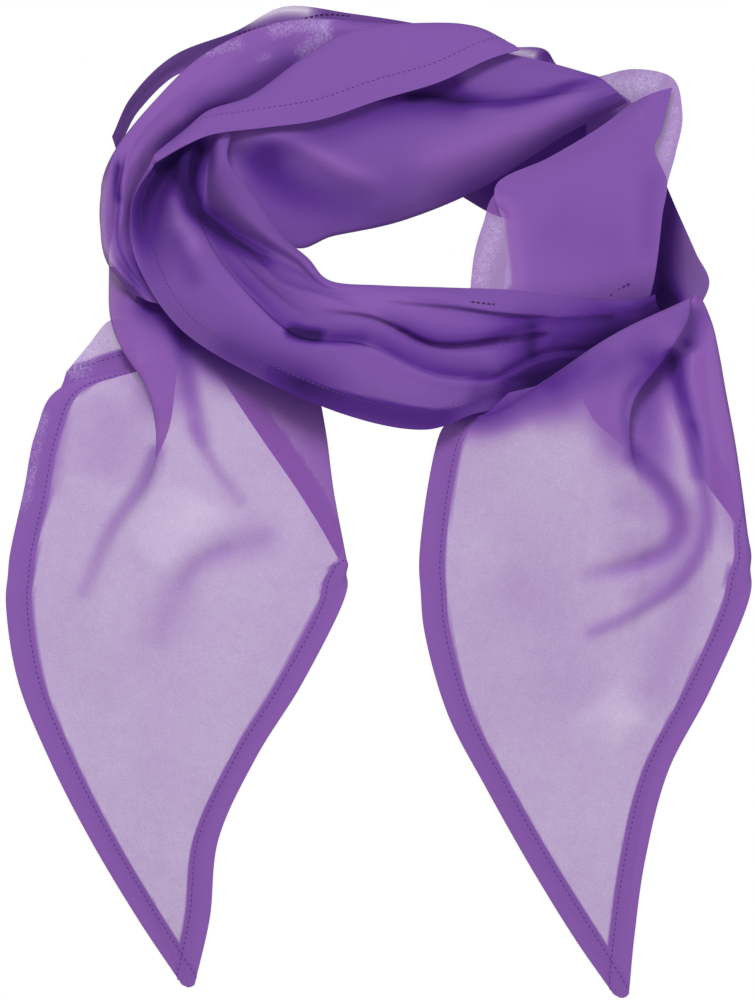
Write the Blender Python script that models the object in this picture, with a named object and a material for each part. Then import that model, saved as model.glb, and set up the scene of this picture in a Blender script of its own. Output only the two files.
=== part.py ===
"""A chiffon scarf, worn: wound one and a half turns round an empty neck, with both pointed tails in front.

Each stretch of the cloth that shows is one wall. Its table has a row for each line that runs along
the cloth (a hem, a crest, the edge of a fold) and a column for each section across it. Every cell is
a place in millimetres: x to the right, y away from the viewer, z up. A smooth skin goes through the
lines, folds are rounded, and a Solidify modifier gives the skin its wall.
"""
import bpy
import numpy as np

MM = 0.001
NAPE = np.array((0.0, -9.5, -7.5))  # where the nape rests on the cloth: the origin of the part

WALL = 1.0  # wall of the plain cloth
HEM_WALL = 1.6  # wall of the turned hem
HEM_WIDTH = 13.0

FOLD_RADIUS = 1.6  # half the distance between two layers at a fold
ROUND_FROM, ROUND_TO = -0.2, 0.6  # cosines between a fold's two sides: flat cloth and a folded edge
NEAR, CLEAR = 3.0, 5.0  # with its neighbour line this near a fold isn't rounded, and this far it is
EASE_SHARE, EASE_MOST = 0.3, 6.0  # where a fold's extra lines lie on cloth that runs straight on

PLEAT_REACH = 7.0  # how far the hidden fold of a pleat lies behind its visible one
REACH_SHARE = 0.7  # and at most this share of the way to the next line
LAYER_STEP = 3.2  # depth between a pleat's two folds
STEP_WIDTH = 6.0  # the next line is this far off before the depth is as large as that
DEEP_FROM = 0.25  # the strength from which a pleat's folds are their full depth apart
FLAT_SHARE = 0.35  # where its hidden line lies on flat cloth, on the way to the line beyond
BULGE_WIDTH = 40.0  # two lines this far apart have the full bulge between them
TAIL_BELLY = 4.0  # how far the open cloth of the left tail bulges forward
TAIL_HOLLOW = 1.5  # and how far it sinks between its hem and the finger
RIDGE_BELLY = 1.0  # the same bulge between the right tail's ridge and its fold

RING_CENTRE = (0.0, -70.0, -50.0)  # a place in the hollow of the neck
FAR_BEHIND = (0.0, 500.0, 0.0)
FAR_BELOW = (0.0, 0.0, -500.0)

BAND_ALONG, BAND_ACROSS = 9.0, 8.0  # size of the facets along and across each stretch
TAIL_ALONG, TAIL_ACROSS = 15.0, 14.0
RING_ALONG, RING_ACROSS = 12.0, 11.0
MOST_FACETS = 12  # between two lines of a table

CHIFFON = (0.21, 0.085, 0.36, 1.0)
CHIFFON_ROUGHNESS = 0.75

# ---------------------------------------------------------------------------------------------
# Tables of the cloth's lines, all in mm
# ---------------------------------------------------------------------------------------------

# Sections: from under the hemmed strip, down the left side and across the front to the right end.
FRONT_BAND = {
    "hem edge": [(-108.5, -11, 0.5), (-117.5, -33, -10), (-124.5, -62, -29), (-120.5, -100, -59),
                 (-97.5, -126, -91.5), (-62.5, -143, -113), (-17.5, -151, -132.5),
                 (22.5, -152, -140), (49, -147.5, -131.5), (78, -125, -127), (119, -103, -119),
                 (141, -77, -100)],
    "low panel": [(-102.5, 1, 3), (-106, -13, -9), (-114, -46, -31), (-109, -104, -57),
                  (-86.5, -136, -84), (-56, -151, -104), (-15, -157, -122), (24, -157, -131),
                  (51, -149, -125.5), (80, -130, -118), (120, -106, -111), (141.5, -79, -97)],
    "panel crest": [(-97.5, -1, 6), (-101, -26, -11), (-103, -68, -27.5), (-95, -111, -50),
                    (-72.5, -142, -76), (-48, -155, -98), (-11, -160, -109), (25.5, -159, -120),
                    (54, -151, -120.5), (82, -133, -110), (121, -107, -105), (142, -80, -94)],
    "panel fold": [(-93.5, 0, 7), (-96.5, -24, -11), (-92, -67, -29), (-81, -111, -53),
                   (-62, -141, -75.5), (-40.5, -154, -93), (-7, -158, -97.5), (27, -158, -112.5),
                   (56.5, -151.5, -114), (84, -134.5, -104), (121.5, -107, -100.5),
                   (142, -80, -91)],
    "second fold": [(-92.5, 2.5, 6), (-94, -17, -16), (-87, -55, -33), (-75, -97, -51),
                    (-56, -129, -71), (-35.5, -147.5, -85), (-5.5, -153, -90), (28, -152, -105),
                    (58, -147, -106), (85.5, -131.5, -97.5), (122.5, -105, -97), (142, -79, -88)],
    "upper fold edge": [(-91, 4, 7), (-93, -13, -19.5), (-84, -54, -34.5), (-70.5, -99, -50),
                        (-51.5, -132.5, -66.5), (-31.5, -148, -78), (-3, -153.5, -83),
                        (29, -154.5, -97), (59.5, -149, -94.5), (86.5, -132.5, -91),
                        (124, -104.5, -93), (141.5, -80.5, -84.5)],
    "upper crest": [(-89.5, 5, 8.5), (-91.5, -10, -22.5), (-81.5, -53, -36), (-66.5, -100, -49),
                    (-48, -133.5, -63.5), (-29.5, -147.5, -74.5), (-2, -152, -78.5),
                    (30.5, -153, -86), (60.5, -149, -87), (87.5, -132.5, -86.5),
                    (125, -103.5, -89), (140.5, -82, -81)],
    "top hem edge": [(-87.5, 5, 10), (-89.5, -8, -25.5), (-79, -52, -37.5), (-62.5, -100.5, -48.5),
                     (-44.5, -133.5, -61), (-28, -147.5, -72), (-1, -150.5, -74.5),
                     (32, -152.5, -77.5), (61.5, -148, -81.5), (88.5, -131.5, -83),
                     (125.5, -102.5, -85.5), (139.5, -84, -78.5)],
    "valley": [(-84.5, 3.5, 11), (-87.5, -4, -22), (-75.5, -48, -38), (-58.5, -93, -48.5),
               (-42, -126, -58), (-27, -143.5, -70), (-0.5, -148.5, -72), (32.5, -150, -73.5),
               (62, -145.5, -77), (89, -129.5, -79.5), (126, -101, -82), (138.5, -85, -76.5)],
    "roll crest": [(-81, -2.5, 12.5), (-82.5, -16, -12), (-71.5, -58, -28), (-55.5, -101, -43),
                   (-39.5, -131, -55), (-26, -143.5, -67.3), (0, -146, -69.4), (33, -147, -71),
                   (62.5, -142, -73.5), (89.5, -126.5, -76), (126.5, -100, -78),
                   (138, -85.5, -74)],
    "top edge": [(-75.5, -3.5, 9.5), (-76.5, -12, -4), (-62.5, -51, -23.5), (-49, -93, -42.5),
                 (-35.5, -124, -54.5), (-25, -138, -65.5), (0.5, -140.5, -68), (33.5, -141.5, -69),
                 (63, -137, -70), (90, -121.5, -73), (127, -96, -75), (138, -82, -72)],
    "inner side": [(-76, 1, 6.5), (-77.5, -5, -9), (-65, -43, -28), (-52, -86, -47),
                   (-40, -118, -60), (-27.5, -132, -70.5), (-1, -134.5, -73.5),
                   (32.5, -135.5, -74.5), (61.5, -131, -77), (89, -116, -78.5), (126, -92, -79.5),
                   (137.5, -79, -76)],
    "inner end": [(-79.5, 3.5, 2), (-81, -1, -18), (-75, -36, -40), (-66, -82, -59),
                  (-50, -114, -76), (-32, -130, -88.5), (-2, -133, -93.5), (31.5, -134, -98.5),
                  (60, -129, -96), (88, -114.5, -93.5), (125, -91, -90), (137, -77.5, -86)],
}
PANEL_PLEAT = [0.0, 0.0, 0.0, 1.0, 1.0, 1.0, 1.0, 1.0, 1.0, 0.4, 0.0, 0.0]
UPPER_PLEAT = [0.0, 0.0, 0.0, 0.0, 0.0, 0.0, 0.3, 1.0, 1.0, 0.0, 0.0, 0.0]
TOP_HEM_PLEAT = [0.0, 0.0, 0.0, 0.0, 0.0, 0.0, 0.0, 0.4, 0.5, 0.0, 0.0, 0.0]

# Sections: from behind the left shoulder turn, under the band and down to the tip.
TAIL_LEFT = {
    "left hem": [(-121, -50, -57), (-116, -84, -88), (-116, -99, -106), (-160, -110, -119),
                 (-172, -115, -141), (-178, -119, -170), (-185, -122, -202.5),
                 (-186, -122.5, -213), (-187, -123, -225), (-181, -125, -265), (-165, -127, -305),
                 (-144.5, -128, -345), (-120.5, -128, -385), (-99, -128, -417)],
    "finger under": [(-112, -60, -59), (-102, -90, -84), (-100, -104, -100), (-102.5, -110, -119),
                     (-106, -115.5, -141), (-121, -120, -171), (-140, -125, -202),
                     (-144.5, -126, -213), (-149, -127, -225), (-145, -128.5, -265),
                     (-137, -129.5, -305), (-124.5, -130, -345), (-110, -129, -385),
                     (-97, -128, -418)],
    "finger edge": [(-136, -68, -58), (-135, -96, -84), (-129, -109, -100), (-117, -115, -119),
                    (-112, -121, -141), (-115, -126.5, -171), (-131, -129.5, -202),
                    (-135.5, -130, -213), (-140, -130.5, -225), (-135, -131.5, -265),
                    (-128, -132, -305), (-117.5, -131.5, -345), (-105.5, -129.5, -385),
                    (-96, -128, -418.5)],
    "right fold": [(-52, -82, -68), (-40, -99, -86), (-34, -110, -106), (-30, -116, -124),
                   (-26.5, -120, -144), (-23, -124, -171), (-17, -127, -203),
                   (-16.3, -128.5, -209.5), (-24.5, -129, -223), (-47.5, -130, -266),
                   (-70, -130, -303), (-87, -130, -344), (-91.5, -129, -384), (-93.8, -128, -418)],
    "right hem": [(-104, -52, -62), (-104, -82, -76), (-90, -98, -97.5), (-77, -107, -117.5),
                  (-60, -112, -143), (-40.5, -117, -171), (-24, -121.5, -198), (-17, -125.5, -212),
                  (-17, -127.5, -222), (-38.5, -129, -266), (-61.5, -129, -303),
                  (-80.5, -129, -344), (-85, -128, -384), (-92.5, -128, -417)],
}

# Sections: from behind the diagonal roll, over it and down to the tip.
TAIL_RIGHT = {
    "left hem": [(41, -134, -118), (39.5, -136, -123), (36, -137, -130), (33, -138.5, -136),
                 (29, -139, -144), (23.5, -138, -170), (19.5, -137, -205), (20.2, -136.5, -220),
                 (22, -136, -240), (34, -136, -282.5), (52.5, -136, -318), (75, -136, -358),
                 (97.5, -136, -394.5), (116, -135, -421)],
    "under the band": [(51, -144.5, -132.5), (51.5, -146.5, -133.5), (52, -147, -137),
                       (50, -147, -142), (47, -146, -149), (43, -143, -171), (41, -141, -205),
                       (41.2, -140.3, -221), (42, -139.5, -240), (51, -139, -282),
                       (65, -138.5, -317.5), (83.5, -137.5, -357.5), (102, -136.5, -394),
                       (117, -135, -422)],
    "left middle": [(80, -143, -117), (81, -151, -118), (81.5, -157, -124.5), (81.5, -157.5, -134),
                    (80.5, -156, -147), (77.5, -150, -172.5), (75, -145, -205), (75, -144, -221),
                    (75, -143, -240), (78.5, -142, -281), (85.5, -141, -316),
                    (96.5, -139.5, -355.5), (108.5, -137.5, -393), (118.2, -135, -422.7)],
    "right middle": [(116, -128, -93), (118, -139, -92), (117.5, -151.5, -101),
                     (112, -156.5, -115), (107, -158.5, -130), (103, -154, -165),
                     (104, -149, -197.5), (103, -147.5, -214), (101.5, -146, -232.5),
                     (99, -145, -275), (101.5, -143, -312.5), (107, -140.5, -353.5),
                     (113, -138, -392.5), (119.3, -135, -423.3)],
    "curl edge": [(151.5, -93, -76), (155, -107.5, -74.5), (153, -124, -87), (140.5, -141.5, -106),
                  (127, -152, -125), (125, -155.5, -152), (130, -150, -190), (128.5, -148.5, -209),
                  (126, -147, -230), (119, -144.5, -272.5), (116.5, -142, -311),
                  (116, -140, -352.5), (117, -138, -392.5), (120.2, -135, -423.6)],
    "curl under": [(155, -87, -77), (155.5, -98, -75), (143, -127, -94.5), (104, -149.5, -116),
                   (105, -152, -132), (128, -149.5, -156), (136, -146, -190), (134, -145, -209),
                   (131, -144, -229), (124.5, -143, -272), (121, -141.5, -310.5),
                   (119, -139.5, -352), (118.7, -137.7, -392), (121, -135, -423.6)],
    "ridge": [(156, -84, -77), (158, -95, -72), (156, -113.5, -97), (148, -125, -106),
              (145, -137, -121), (153.5, -144, -150), (161, -144, -183), (160, -143.5, -201),
              (157, -143, -221), (142, -142, -269.5), (130, -140, -309.5), (124.5, -138.5, -351.7),
              (121.5, -137, -392), (122, -135, -423.4)],
    "right fold": [(162, -79, -79), (161.5, -89, -75), (166.5, -105, -87.5), (170, -116, -104),
                   (172.5, -125, -119), (178, -134, -150), (183.5, -138, -191),
                   (185.2, -138.7, -206), (179, -139, -224), (158.5, -139, -270),
                   (137.5, -138, -309), (128, -137, -353.5), (123.7, -136.3, -392.3),
                   (123.2, -135, -422.8)],
    "right hem": [(158, -75, -90), (158, -82, -98), (157, -93, -110), (156, -102, -121),
                  (156, -113, -138), (159, -126, -160), (180, -133.5, -191), (184.6, -135.8, -209),
                  (184.5, -138, -223.5), (164.5, -139, -270.5), (144, -138, -310),
                  (132.5, -137, -354), (127, -136, -393), (124.3, -135, -421.5)],
}

# Sections: from the left outline of the turned corner to where the tail's finger covers it.
TAIL_LEFT_CORNER = {
    "hem edge": [(-160.5, -105, -120.5), (-147.5, -104, -118), (-134, -102, -113.5),
                 (-121.5, -100, -110.5)],
    "hem line": [(-158.5, -103, -116), (-146.8, -101, -106.5), (-133.5, -98, -102),
                 (-121.8, -96, -99.5)],
    "top": [(-157, -101, -111), (-146, -98, -97.5), (-135, -93, -85), (-122.5, -91, -86)],
}

# Sections: across the inside of the back, from the left turn to the right turn.
INNER_BACK = {
    "turned under": [(-82, 13, -12), (-46, 7, -38), (-23, 5, -34), (10, 5, -26), (48, 4, -10),
                     (89, 1, 14), (121, -4, 27)],
    "bottom edge": [(-81, 10, -17), (-46, 1, -47), (-23, -1, -42), (11, -1, -34.5),
                    (50, -2, -18.5), (92, -5, 8), (124.5, -8.5, 25)],
    "low crest": [(-82, 6.5, -10), (-54, -1, -28), (-24, -6, -27.5), (10.5, -7, -24),
                  (47, -8, -11), (89, -10, 10), (123, -12, 27)],
    "middle": [(-83, 6.5, -3), (-57, 2, -8), (-25, -6, -5), (10, -9, -7.5), (45, -10, 1),
               (86.5, -13, 14), (120.5, -14, 29.5)],
    "high crest": [(-84, 6.5, 3), (-60, -1, 5), (-25, -3, 11), (10, -3, 15), (45, -6, 15),
                   (82.5, -13, 21), (119.5, -14.5, 30.5)],
    "crease": [(-85, 7, 7), (-62, 1, 13), (-25, -2, 21), (10, -3.5, 28.5), (45, -5, 26),
               (77.5, -10, 28), (116.3, -12, 33.5)],
    "lens crest": [(-86, 7.5, 9.5), (-63, 3, 17), (-25, 1, 26), (10, 2, 35), (45, 0, 39),
                   (80, -3, 39), (112.5, -9, 36.5)],
    "top": [(-86.5, 8, 11.5), (-64, 5, 22), (-25, 4, 34), (10, 5, 46), (45, 5, 52),
            (80.5, 4, 46.5), (109.5, -3.5, 38.5)],
}
LENS_PLEAT = [0.0, 0.0, 0.0, 0.7, 1.0, 0.8, 0.0]

# Sections: from the left turn along the inside of the back to its right end.
HEM_STRIP = {
    "hem edge": [(-112.5, -29, -5), (-98, -15, 3.5), (-84.5, -11, 9), (-58, -9, 12.5),
                 (-30, -8, 16.5), (0, -8, 26.5), (30, -10, 35.5), (55, -7, 47), (70.5, -1, 52)],
    "middle": [(-113.1, -27, -3.5), (-99.5, -13, 6), (-86, -9, 15), (-61.5, -6, 21),
               (-35, -4.5, 32), (-7, -3, 45), (26, -4, 51), (52, -3, 56), (69, 0, 53.2)],
    "high edge": [(-113.5, -25, -2), (-101, -9, 8), (-87.5, -2, 20.5), (-65, 2, 28.5),
                  (-40, 4, 46.5), (-14, 7, 61.5), (22.5, 8, 65.5), (49, 7, 63.5), (67, 4, 54.5)],
    "far side": [(-113.5, -22, -1), (-101.5, -4.5, 9), (-88, 3, 19.5), (-66, 8, 27), (-41, 12, 44),
                 (-14, 16, 56), (22, 17, 58), (49, 15.5, 57), (66.5, 8.5, 53)],
}

# Sections: from under the band's hem, up the left side and over the top to the middle of the back.
OUTER_LEFT = {
    "inner end": [(-98, -108, -79), (-116, -82, -52), (-118, -32, -34), (-116, -8, -17.5),
                  (-111, 2, -7.5), (-99, 12, 4), (-70, 20, 20), (-35, 21, 39), (10, 21.5, 50)],
    "shaded side": [(-104.5, -109.5, -77.5), (-124, -85, -51), (-126, -54, -27.5),
                    (-124, -32, -10), (-119, -16, 1), (-107.5, -3, 12.5), (-79, 9, 30),
                    (-40, 15, 50), (10, 20.5, 57)],
    "overlap edge": [(-110.5, -108, -77), (-129, -88, -50), (-130, -64, -27), (-129, -41, -11),
                     (-126, -22, 1), (-112.5, -6, 19), (-85, 8, 41), (-45, 14, 60), (10, 20, 62)],
    "light strip": [(-116, -106, -75.5), (-136, -92, -51), (-138.5, -64, -26), (-135.5, -39, -9),
                    (-131, -20, 4), (-114.5, -4, 25), (-88, 9.5, 50), (-48, 16, 66.5),
                    (10, 22, 65.5)],
    "outer side": [(-121, -101, -73), (-136.5, -88, -56), (-140.5, -56, -37), (-140.5, -30, -22),
                   (-138, -6, -10), (-120, 11, 12), (-93, 21, 36), (-52, 24, 54), (8, 24.5, 53)],
    "low edge": [(-122.5, -94, -75), (-134, -80, -60), (-136, -50, -52), (-135, -22, -44),
                 (-132, 4, -35), (-117, 15, -18), (-90, 22, -10), (-50, 25, -5), (8, 25.5, 0)],
}
SIDE_PLEAT = [0.0, 0.4, 0.8, 0.6, 0.0, 0.0, 0.0, 0.0, 0.0]

# Sections: along the outside of the back, from a narrow twist at the left to the right shoulder.
OUTER_BACK = {
    "low edge": [(-131, 5, 3), (-121, 17, 22), (-97, 27, 41), (-73, 31, 26), (-45, 33, -5),
                 (-15, 34, -22), (25, 33, -15), (60, 29, -32), (85, 23, -36), (96, 19, -38),
                 (110, 13, -42)],
    "low crest": [(-132, 3.5, 4), (-122, 15, 23.5), (-98, 27, 43), (-73, 34, 36), (-46, 38, 12),
                  (-15, 40, 0), (25, 40, -6), (60, 36, -9), (85, 29, -12), (96, 25, -14),
                  (109.5, 18, -16)],
    "middle": [(-133, 1, 5.5), (-123, 13, 25), (-99.5, 25, 45), (-73, 31, 46), (-46.5, 33, 33),
               (-15, 35, 26), (25, 34.5, 21), (61, 30, 17), (85, 24, 15), (94, 20, 12),
               (109, 14, 8)],
    "hem line": [(-134, -1, 7), (-124, 10, 26.5), (-101, 22, 47), (-73, 29, 55), (-47, 32, 61),
                 (-15, 32, 58), (25, 31, 51), (62, 26, 41), (84, 20, 39), (91, 17, 32),
                 (108.5, 11, 22)],
    "hem edge": [(-135, -3, 8), (-125.5, 6, 28), (-103.5, 18, 49.5), (-73, 25, 61.5),
                 (-48, 27.5, 74), (-14.5, 28, 70.5), (25, 27, 64), (62.5, 21, 54), (83.5, 15, 52),
                 (90, 12.5, 43.5), (107.5, 7.5, 34)],
}

# Sections: from the back's right shoulder forward to the knob over the right tail.
OUTER_RIGHT = {
    "low edge": [(104, 9, -42), (117, 7, -52), (121, -4, -63), (126, -20, -74), (133, -38, -85),
                 (143, -57, -95), (146, -62, -103)],
    "middle": [(104, 13, -10), (125, 9, -22), (136, -6, -40), (144, -26, -56), (151, -46, -69),
               (156, -67, -82), (155, -72, -92)],
    "top edge": [(104, 4, 32), (126, 4, 22), (140, -22, -7.5), (149, -42, -29), (158.5, -60, -51),
                 (165, -74, -67.5), (158, -78, -82)],
}

# Sections: down from the right turn to behind the band.
FLAP = {
    "left edge": [(125.5, -27, 24), (110, -39, 12), (85, -52, -3), (58.5, -66, -16.5),
                  (61.5, -82, -36), (64, -95, -50), (62, -108, -68), (61, -112, -86)],
    "middle": [(137, -30, 29.5), (126, -43, 13), (111, -56, -1), (101, -68, -17),
               (101, -82, -34.5), (101, -94, -50), (99, -103, -67.5), (97, -101, -86)],
    "right edge": [(147, -28, 32.5), (142, -41, 12), (138, -50, 0.5), (144, -61, -15.5),
                   (141.5, -73, -32.5), (139.5, -82, -50), (137, -84, -66), (132, -77, -84)],
}

# Sections: from the end of the inner back, round the right turn and down behind the flap.
RIGHT_TURN = {
    "inner edge": [(121, 0, 25), (130, -12, 23), (133, -22, 17), (122.5, -31, 11.5), (90, -46, -5),
                   (59, -59, -20), (51.5, -74, -37), (47, -88, -53), (44, -104, -84)],
    "middle": [(115, 1, 32), (128, -9, 34), (141, -22, 28), (138, -32, 16), (119, -47, -3),
               (101, -61, -19), (96, -75, -36.5), (93, -86, -53), (90, -95, -82)],
    "outline": [(109, 2, 38), (128, -6, 42), (147.5, -20, 37), (152, -30, 20), (148.5, -42, -1),
                (144, -54, -17.5), (141, -67, -36), (139, -74, -53), (134, -70, -80)],
}

# ---------------------------------------------------------------------------------------------
# Geometry of cloth
# ---------------------------------------------------------------------------------------------


def unit(vectors):
    return vectors / np.maximum(np.linalg.norm(vectors, axis=-1, keepdims=True), 1e-9)


def smooth(points, steps):
    """A smooth curve through the rows of points, with this many steps between two rows."""
    gaps = np.linalg.norm(np.diff(points, axis=0), axis=-1)
    knots = np.concatenate(([0.0], np.cumsum(np.sqrt(gaps.reshape(len(gaps), -1).mean(1) + 0.01))))
    widths = np.diff(knots).reshape(-1, *([1] * (points.ndim - 1)))
    slopes = np.diff(points, axis=0) / widths
    tangents = np.empty_like(points)
    tangents[0], tangents[-1] = slopes[0], slopes[-1]
    before, after = widths[:-1], widths[1:]
    tangents[1:-1] = (slopes[:-1] * after + slopes[1:] * before) / (before + after)
    made = []
    for i, (count, width) in enumerate(zip(steps, widths)):
        for t in np.arange(count) / count:
            made.append(
                points[i] * (2 * t**3 - 3 * t**2 + 1)
                + points[i + 1] * (3 * t**2 - 2 * t**3)
                + width * tangents[i] * (t**3 - 2 * t**2 + t)
                + width * tangents[i + 1] * (t**3 - t**2)
            )
    made.append(points[-1])
    return np.array(made)


def steps_for(points, step):
    """How many steps of about this length each gap between two rows takes."""
    mean = np.linalg.norm(np.diff(points, axis=0), axis=-1).mean(axis=1)
    return np.clip(np.round(mean / step), 1, MOST_FACETS).astype(int)


def along(table, step):
    """A table's lines, made smooth from section to section."""
    sections = np.array(list(table.values()), dtype=float).transpose(1, 0, 2)
    return list(smooth(sections, steps_for(sections, step)).transpose(1, 0, 2))


def spread(strengths, table, step):
    """A strength for each section, as one for each place on the lines that along() makes."""
    sections = np.array(list(table.values()), dtype=float).transpose(1, 0, 2)
    steps = steps_for(sections, step)
    return np.interp(np.arange(steps.sum() + 1), np.concatenate(([0], np.cumsum(steps))), strengths)


def length(vectors):
    return np.linalg.norm(vectors, axis=-1, keepdims=True)


def ramp(values, start, end):
    return np.clip((values - start) / (end - start), 0, 1)


def between(first, second, share, forward):
    """A line part of the way from one line to another, moved toward the viewer where both are far."""
    made = first + (second - first) * share
    made[:, 1:2] -= forward * ramp(length(second - first), 0, BULGE_WIDTH)
    return made


def hidden_fold(edge, over, beyond, strength, inward):
    """The second fold of a pleat, behind the layer that runs from its edge to over.

    Where the strength is 0 there is no pleat, and the line lies flat between edge and beyond."""
    strength = strength[:, None]
    behind = unit(np.cross(np.gradient(edge, axis=0), over - edge))
    behind *= np.where((behind * (inward - edge)).sum(1, keepdims=True) < 0, -1, 1)
    reach = np.minimum(PLEAT_REACH, length(over - edge) * REACH_SHARE)
    flat = (beyond - edge) * FLAT_SHARE
    folded = unit(over - edge) * reach
    room = ramp(length(over - edge), 0, STEP_WIDTH)
    depth = LAYER_STEP * room * ramp(strength, 0, DEEP_FROM)
    return edge + flat + (folded - flat) * strength + behind * depth


def rounded(previous, edge, following):
    """Three lines in place of a fold's edge, so that the cloth turns with FOLD_RADIUS.

    Where the cloth runs straight on, or its lines are close, they lie evenly round the edge."""
    to_previous, to_following = previous - edge, following - edge
    near = np.minimum(length(to_previous), length(to_following))
    towards = unit(unit(to_previous) + unit(to_following))
    apart = to_previous - to_following
    apart = unit(apart - (apart * towards).sum(1, keepdims=True) * towards)
    turn = (unit(to_previous) * unit(to_following)).sum(1, keepdims=True)
    folded = ramp(turn, ROUND_FROM, ROUND_TO) * ramp(near, NEAR, CLEAR)
    lines = []
    for side, neighbour in ((1, to_previous), (-1, to_following)):
        flat = edge + unit(neighbour) * np.minimum(length(neighbour) * EASE_SHARE, EASE_MOST)
        bent = edge + FOLD_RADIUS * (towards + side * apart)
        lines.append(flat + (bent - flat) * folded)
    return lines[0], edge, lines[1]


def material(name):
    made = bpy.data.materials.new(name)
    made.use_nodes = True
    shader = made.node_tree.nodes["Principled BSDF"]
    shader.inputs["Base Color"].default_value = CHIFFON
    shader.inputs["Roughness"].default_value = CHIFFON_ROUGHNESS
    shader.inputs["Metallic"].default_value = 0.0
    return made


def cloth(name, lines, step, hems=()):
    """One stretch of cloth as a wall, thicker along the hems ("first" and "last" line)."""
    lines = np.stack(lines)
    grid = smooth(lines, steps_for(lines, step)) - NAPE
    rows, columns = grid.shape[:2]
    corner = np.arange(rows * columns).reshape(rows, columns)
    quads = np.stack((corner[:-1, :-1], corner[:-1, 1:], corner[1:, 1:], corner[1:, :-1]), -1)
    mesh = bpy.data.meshes.new(name)
    mesh.from_pydata((grid * MM).reshape(-1, 3).tolist(), [], quads.reshape(-1, 4).tolist())
    mesh.shade_smooth()
    piece = bpy.data.objects.new(name, mesh)
    bpy.context.scene.collection.objects.link(piece)
    mesh.materials.append(material(name))

    hem = piece.vertex_groups.new(name="hem")
    across = np.linalg.norm(np.diff(grid, axis=0), axis=-1)
    from_first = np.concatenate((np.zeros((1, columns)), np.cumsum(across, axis=0)))
    distance = {"first": from_first, "last": from_first[-1] - from_first}
    for side in hems:
        inside = corner[distance[side] < HEM_WIDTH]
        hem.add(inside.ravel().tolist(), 1.0, "REPLACE")

    wall = piece.modifiers.new("wall", "SOLIDIFY")
    wall.thickness = HEM_WALL * MM
    wall.offset = 0.0
    wall.vertex_group = hem.name
    wall.thickness_vertex_group = WALL / HEM_WALL
    return piece


# ---------------------------------------------------------------------------------------------
# The stretches of the scarf
# ---------------------------------------------------------------------------------------------


def front_band():
    step = BAND_ALONG
    lines = along(FRONT_BAND, step)
    hem, low, crest, fold, second, upper, upper_crest, top_hem, valley, *rest = lines
    inward = np.array(RING_CENTRE)
    panel = spread(PANEL_PLEAT, FRONT_BAND, step)
    fold_under = hidden_fold(fold, crest, second, panel, inward)
    strip = spread(UPPER_PLEAT, FRONT_BAND, step)
    upper_under = hidden_fold(upper, upper_crest, second, strip, inward)
    top = spread(TOP_HEM_PLEAT, FRONT_BAND, step)
    hem_under = hidden_fold(top_hem, valley, upper_crest, top, inward)
    cloth("front_band", [
        hem,
        low,
        crest,
        *rounded(crest, fold, fold_under),
        *rounded(fold, fold_under, second),
        second,
        *rounded(second, upper_under, upper),
        *rounded(upper_under, upper, upper_crest),
        upper_crest,
        *rounded(upper_crest, hem_under, top_hem),
        *rounded(hem_under, top_hem, valley),
        valley,
        *rest,
    ], BAND_ACROSS, hems=("first",))


def tail_left():
    left, under, edge, fold, hem = along(TAIL_LEFT, TAIL_ALONG)
    before = between(left, under, share=0.6, forward=-TAIL_HOLLOW)
    after = between(edge, fold, share=0.33, forward=TAIL_BELLY)
    middle = between(edge, fold, share=0.7, forward=TAIL_BELLY)
    cloth("tail_left", [
        left,
        before,
        *rounded(before, under, edge),
        *rounded(under, edge, after),
        after,
        middle,
        *rounded(middle, fold, hem),
        hem,
    ], TAIL_ACROSS, hems=("first", "last"))


def tail_right():
    lines = along(TAIL_RIGHT, TAIL_ALONG)
    left, under_band, left_middle, right_middle, curl, curl_under, ridge, fold, hem = lines
    outer = between(ridge, fold, share=0.5, forward=RIDGE_BELLY)
    cloth("tail_right", [
        left,
        under_band,
        left_middle,
        right_middle,
        *rounded(right_middle, curl, curl_under),
        *rounded(curl, curl_under, ridge),
        ridge,
        outer,
        *rounded(outer, fold, hem),
        hem,
    ], TAIL_ACROSS, hems=("first", "last"))


def inner_back():
    step = RING_ALONG
    turned, bottom, low, middle, high, crease, lens, top = along(INNER_BACK, step)
    strength = spread(LENS_PLEAT, INNER_BACK, step)
    crease_under = hidden_fold(crease, high, lens, strength, np.array(FAR_BEHIND))
    cloth("inner_back", [
        turned,
        *rounded(turned, bottom, low),
        low,
        middle,
        high,
        *rounded(high, crease, crease_under),
        *rounded(crease, crease_under, lens),
        lens,
        top,
    ], RING_ACROSS)


def outer_left():
    step = RING_ALONG
    inner, shaded, edge, strip, side, low = along(OUTER_LEFT, step)
    strength = spread(SIDE_PLEAT, OUTER_LEFT, step)
    edge_under = hidden_fold(edge, shaded, strip, strength, np.array(FAR_BELOW))
    cloth("outer_left", [
        inner,
        shaded,
        *rounded(shaded, edge, edge_under),
        *rounded(edge, edge_under, strip),
        strip,
        side,
        low,
    ], RING_ACROSS)


def plain(name, table, hems=()):
    cloth(name, along(table, RING_ALONG), RING_ACROSS, hems=hems)


def clear_scene():
    for thing in list(bpy.data.objects):
        bpy.data.objects.remove(thing, do_unlink=True)


clear_scene()
front_band()
tail_left()
tail_right()
inner_back()
outer_left()
plain("tail_left_corner", TAIL_LEFT_CORNER, hems=("first",))
plain("hem_strip", HEM_STRIP, hems=("first",))
plain("outer_back", OUTER_BACK, hems=("last",))
plain("outer_right", OUTER_RIGHT)
plain("flap", FLAP)
plain("right_turn", RIGHT_TURN)
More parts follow.
